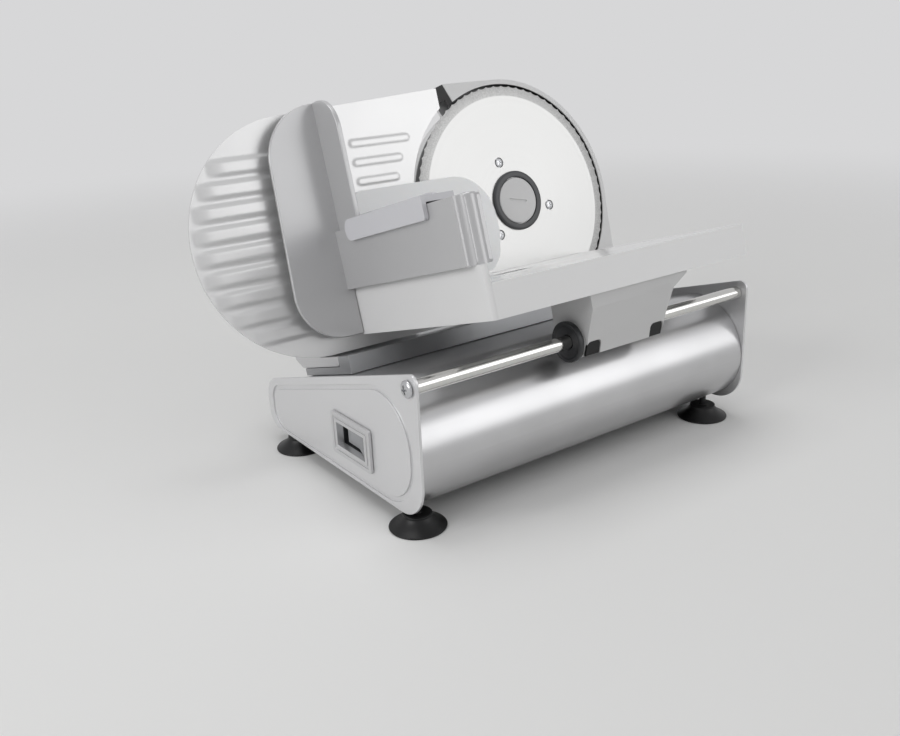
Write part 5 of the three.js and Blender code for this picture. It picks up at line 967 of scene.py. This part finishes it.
# Slide bushes and corner inserts
# Flanged black nylon bushes, pressed into the boss, run on the rod.
# Two black rubber pads fill the lower corners of the bracket's face.
BUSH_BORE, FLANGE_RADII = 5, {"left": 14, "right": 10.5}
for side, face_x, out in (("left", BRACKET_LEFT - GAP, -1), ("right", BRACKET_RIGHT + GAP, 1)):
    flange = FLANGE_RADII[side]
    profile = [(BUSH_BORE, -12), (7, -12), (7, 0), (flange - 1.6, 0), (flange - 0.4, 0.8), (flange, 2),
               (flange, 4.3), (flange - 0.5, 4.9), (flange - 1.9, 5), (flange - 2.6, 4.5),
               (flange - 3.6, 3.7), (5.6, 3.5), (BUSH_BORE, 3.2), (BUSH_BORE, -12)]
    bush = turned(f"flanged_bush_{side}", [(radius, face_x + out * along) for radius, along in profile], "x",
                  ROD_CENTRE, 80)
    dressed(bush, TILTED, black_nylon, "carriage", f"slide_bush_{side}", 0)
    pad = corner_pad(f"corner_pad_{side}", PAD_LEFTS[side], 0)
    carved(pad, leaning("pad_face", PAD_SINK), operation="INTERSECT")
    dressed(pad, TILTED, black_rubber, "carriage", f"bracket_insert_{side}", 0.5)

# Pusher plate
# A white acetal plate that presses the food on, kept just clear of the table.
# Its small moulded spikes hold the food.
PUSHER_LEFT, PUSHER_FRONT, PUSHER_BOTTOM, PUSHER_WIDTH, PUSHER_HEIGHT = 91, -18, 149, 123, 77
PUSHER_SHEET = 3
PUSHER_SHARES = [(0, 0, 3), (0.891, 0, 6), (0.965, 0.13, 8), (0.995, 0.34, 12), (1, 1, 37), (0, 1, 4)]
SPIKE_PROFILE = [(0, 2), (1.4, 2.9), (1.1, 3.3), (0.3, 5.4), (0, 5.5)]
SPIKE_SHARES = [(0.15, 0.87), (0.33, 0.88), (0.51, 0.88), (0.69, 0.88), (0.85, 0.77), (0.91, 0.53),
                (0.9, 0.3)]

# White acetal: moulded, slightly waxy, a little light passes its skin.
white_acetal = grained("white_acetal", "#F4F4F4", {
    "Roughness": 0.32, "Subsurface Weight": 0.05, "Coat Weight": 0.6}, 0.8, 0.01)
pusher = prism("pusher_face", rounded([
    (PUSHER_LEFT + across * PUSHER_WIDTH, PUSHER_BOTTOM + up * PUSHER_HEIGHT, radius)
    for across, up, radius in PUSHER_SHARES], 10), "v", PUSHER_FRONT, PUSHER_FRONT + PUSHER_SHEET)
spikes = [turned("spike", raised(SPIKE_PROFILE, PUSHER_FRONT), "v",
                 (PUSHER_LEFT + across * PUSHER_WIDTH, PUSHER_BOTTOM + up * PUSHER_HEIGHT), 20)
          for across, up in SPIKE_SHARES]
carved(pusher, *spikes, operation="UNION")
dressed(pusher, TILTED, white_acetal, "pusher", "pusher_plate", 0.6, 3, 40)

# Pusher hook
# A grey moulded channel that rides over the guard's beam and carries the pusher plate.
# It has a roof, a short rail outside the beam and a tall flange inside it.
HOOK_SHEET, HOOK_FRONT, HOOK_BACK, ROOF_SHEET = 3.2, -138, -52, 4.2
RAIL_BACK, RAIL_HEIGHT, FLANGE_FRONT, FLANGE_FOOT, FLANGE_RISE = -35, 15, -128, BEAM_BOTTOM + 20, 3
hook_left, hook_right = BEAM_LEFT - GAP - HOOK_SHEET, BEAM_RIGHT + GAP + HOOK_SHEET
roof_bottom = COLUMN_PROFILE[-1][1] + GAP
roof_top = roof_bottom + ROOF_SHEET
flange_back, flange_top = PUSHER_FRONT - GAP, roof_top + FLANGE_RISE

# Pale hook ABS: polished in the mould, close to the guard in tone but not metallic.
pale_hook_abs = grained("pale_hook_abs", "#D0D0D4", {
    "Roughness": 0.32, "Coat Weight": 0.3, "Coat Roughness": 0.1}, 1.5, 0.001)
hook = box("channel_hook", hook_left, hook_right, HOOK_FRONT, HOOK_BACK, roof_bottom, roof_top)
rail = prism("rail", rounded([(HOOK_FRONT, roof_top - RAIL_HEIGHT, 2), (RAIL_BACK, roof_top - RAIL_HEIGHT, 7),
                              (RAIL_BACK, roof_top, 7), (HOOK_FRONT, roof_top, 0)]), "x",
             hook_left, hook_left + HOOK_SHEET)
flange = prism("flange", rounded([(FLANGE_FRONT, FLANGE_FOOT, 2), (flange_back, FLANGE_FOOT, 0),
                                  (flange_back, flange_top, 0), (FLANGE_FRONT, flange_top, 14)]), "x",
               hook_right - HOOK_SHEET, hook_right)
carved(hook, rail, flange, operation="UNION")
dressed(hook, TILTED, pale_hook_abs, "pusher", "pusher_hook", 0.5, 3)

# Cord gland
# A black rubber sleeve snapped into a hole low in the rear wall.
# Its collar lies flat on the wall round a plain bore.
GLAND_PLACE, GLAND_PROFILE = (285, 62), [
    (3.2, -5.5), (5.5, -5.5), (5.5, 0.3), (8, 0.3), (7.9, 1.6), (6.9, 3.4), (6.2, 4), (3.8, 4), (3.2, 3.4),
    (3.2, -5.5)]
gland_back = BASE_REAR - SHELL_INSET
gland = turned("inlet_gland", raised(GLAND_PROFILE, gland_back), "v", GLAND_PLACE, 48)
dressed(gland, UPRIGHT, black_rubber, "base", "cord_gland", 0)

# Drive, gauge slide and bottom
# The hidden parts keep their plain solids: turned steel shafts and bearings, windings, brushes and bushes.
# Moulded nylon and acetal make the gears, the carrier, the switch and the sheet that closes the base.

# Machined steel: fine tool marks all over, drawn about 1.4 mm apart, give a grey broken shine.
machined_steel = brushed("machined_steel", "#BFC1C3", {"Roughness": 0.3}, (700, 700, 700), 0.06, 0.01)
# Sintered bronze: matt gold brown with open pores that hold oil.
sintered_bronze = grained("sintered_bronze", "#B08D4C", {"Metallic": 1, "Roughness": 0.4}, 0.4, 0.02)
# Enamelled copper: warm and a little glossy, uneven like wound wire.
enamelled_copper = grained("enamelled_copper", "#A8663C", {"Metallic": 0.8, "Roughness": 0.38}, 0.9, 0.05)
# Pressed carbon: dull, near black powder.
pressed_carbon = grained("pressed_carbon", "#2E2E30", {"Roughness": 0.7}, 0.4, 0.02, 0.1)
for finish, names in (
    (black_nylon, ("bottom_plate", "switch_body", "gauge_carrier")),
    (machined_steel, ("blade_carrier", "bearing_front", "bearing_rear", "worm_shaft", "motor_field",
                      "gauge_rod_lower", "gauge_rod_upper")),
    (white_acetal, ("worm_wheel", "cooling_fan", "cam_disc")),
    (enamelled_copper, ("armature_core", "commutator")),
    (sintered_bronze, ("motor_bush_worm_end", "motor_bush_middle", "motor_bush_rear")),
    (pressed_carbon, ("brush_front", "brush_rear")),
):
    for name in names:
        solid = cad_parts[name]
        solid.data.materials.clear()
        solid.data.materials.append(finish)
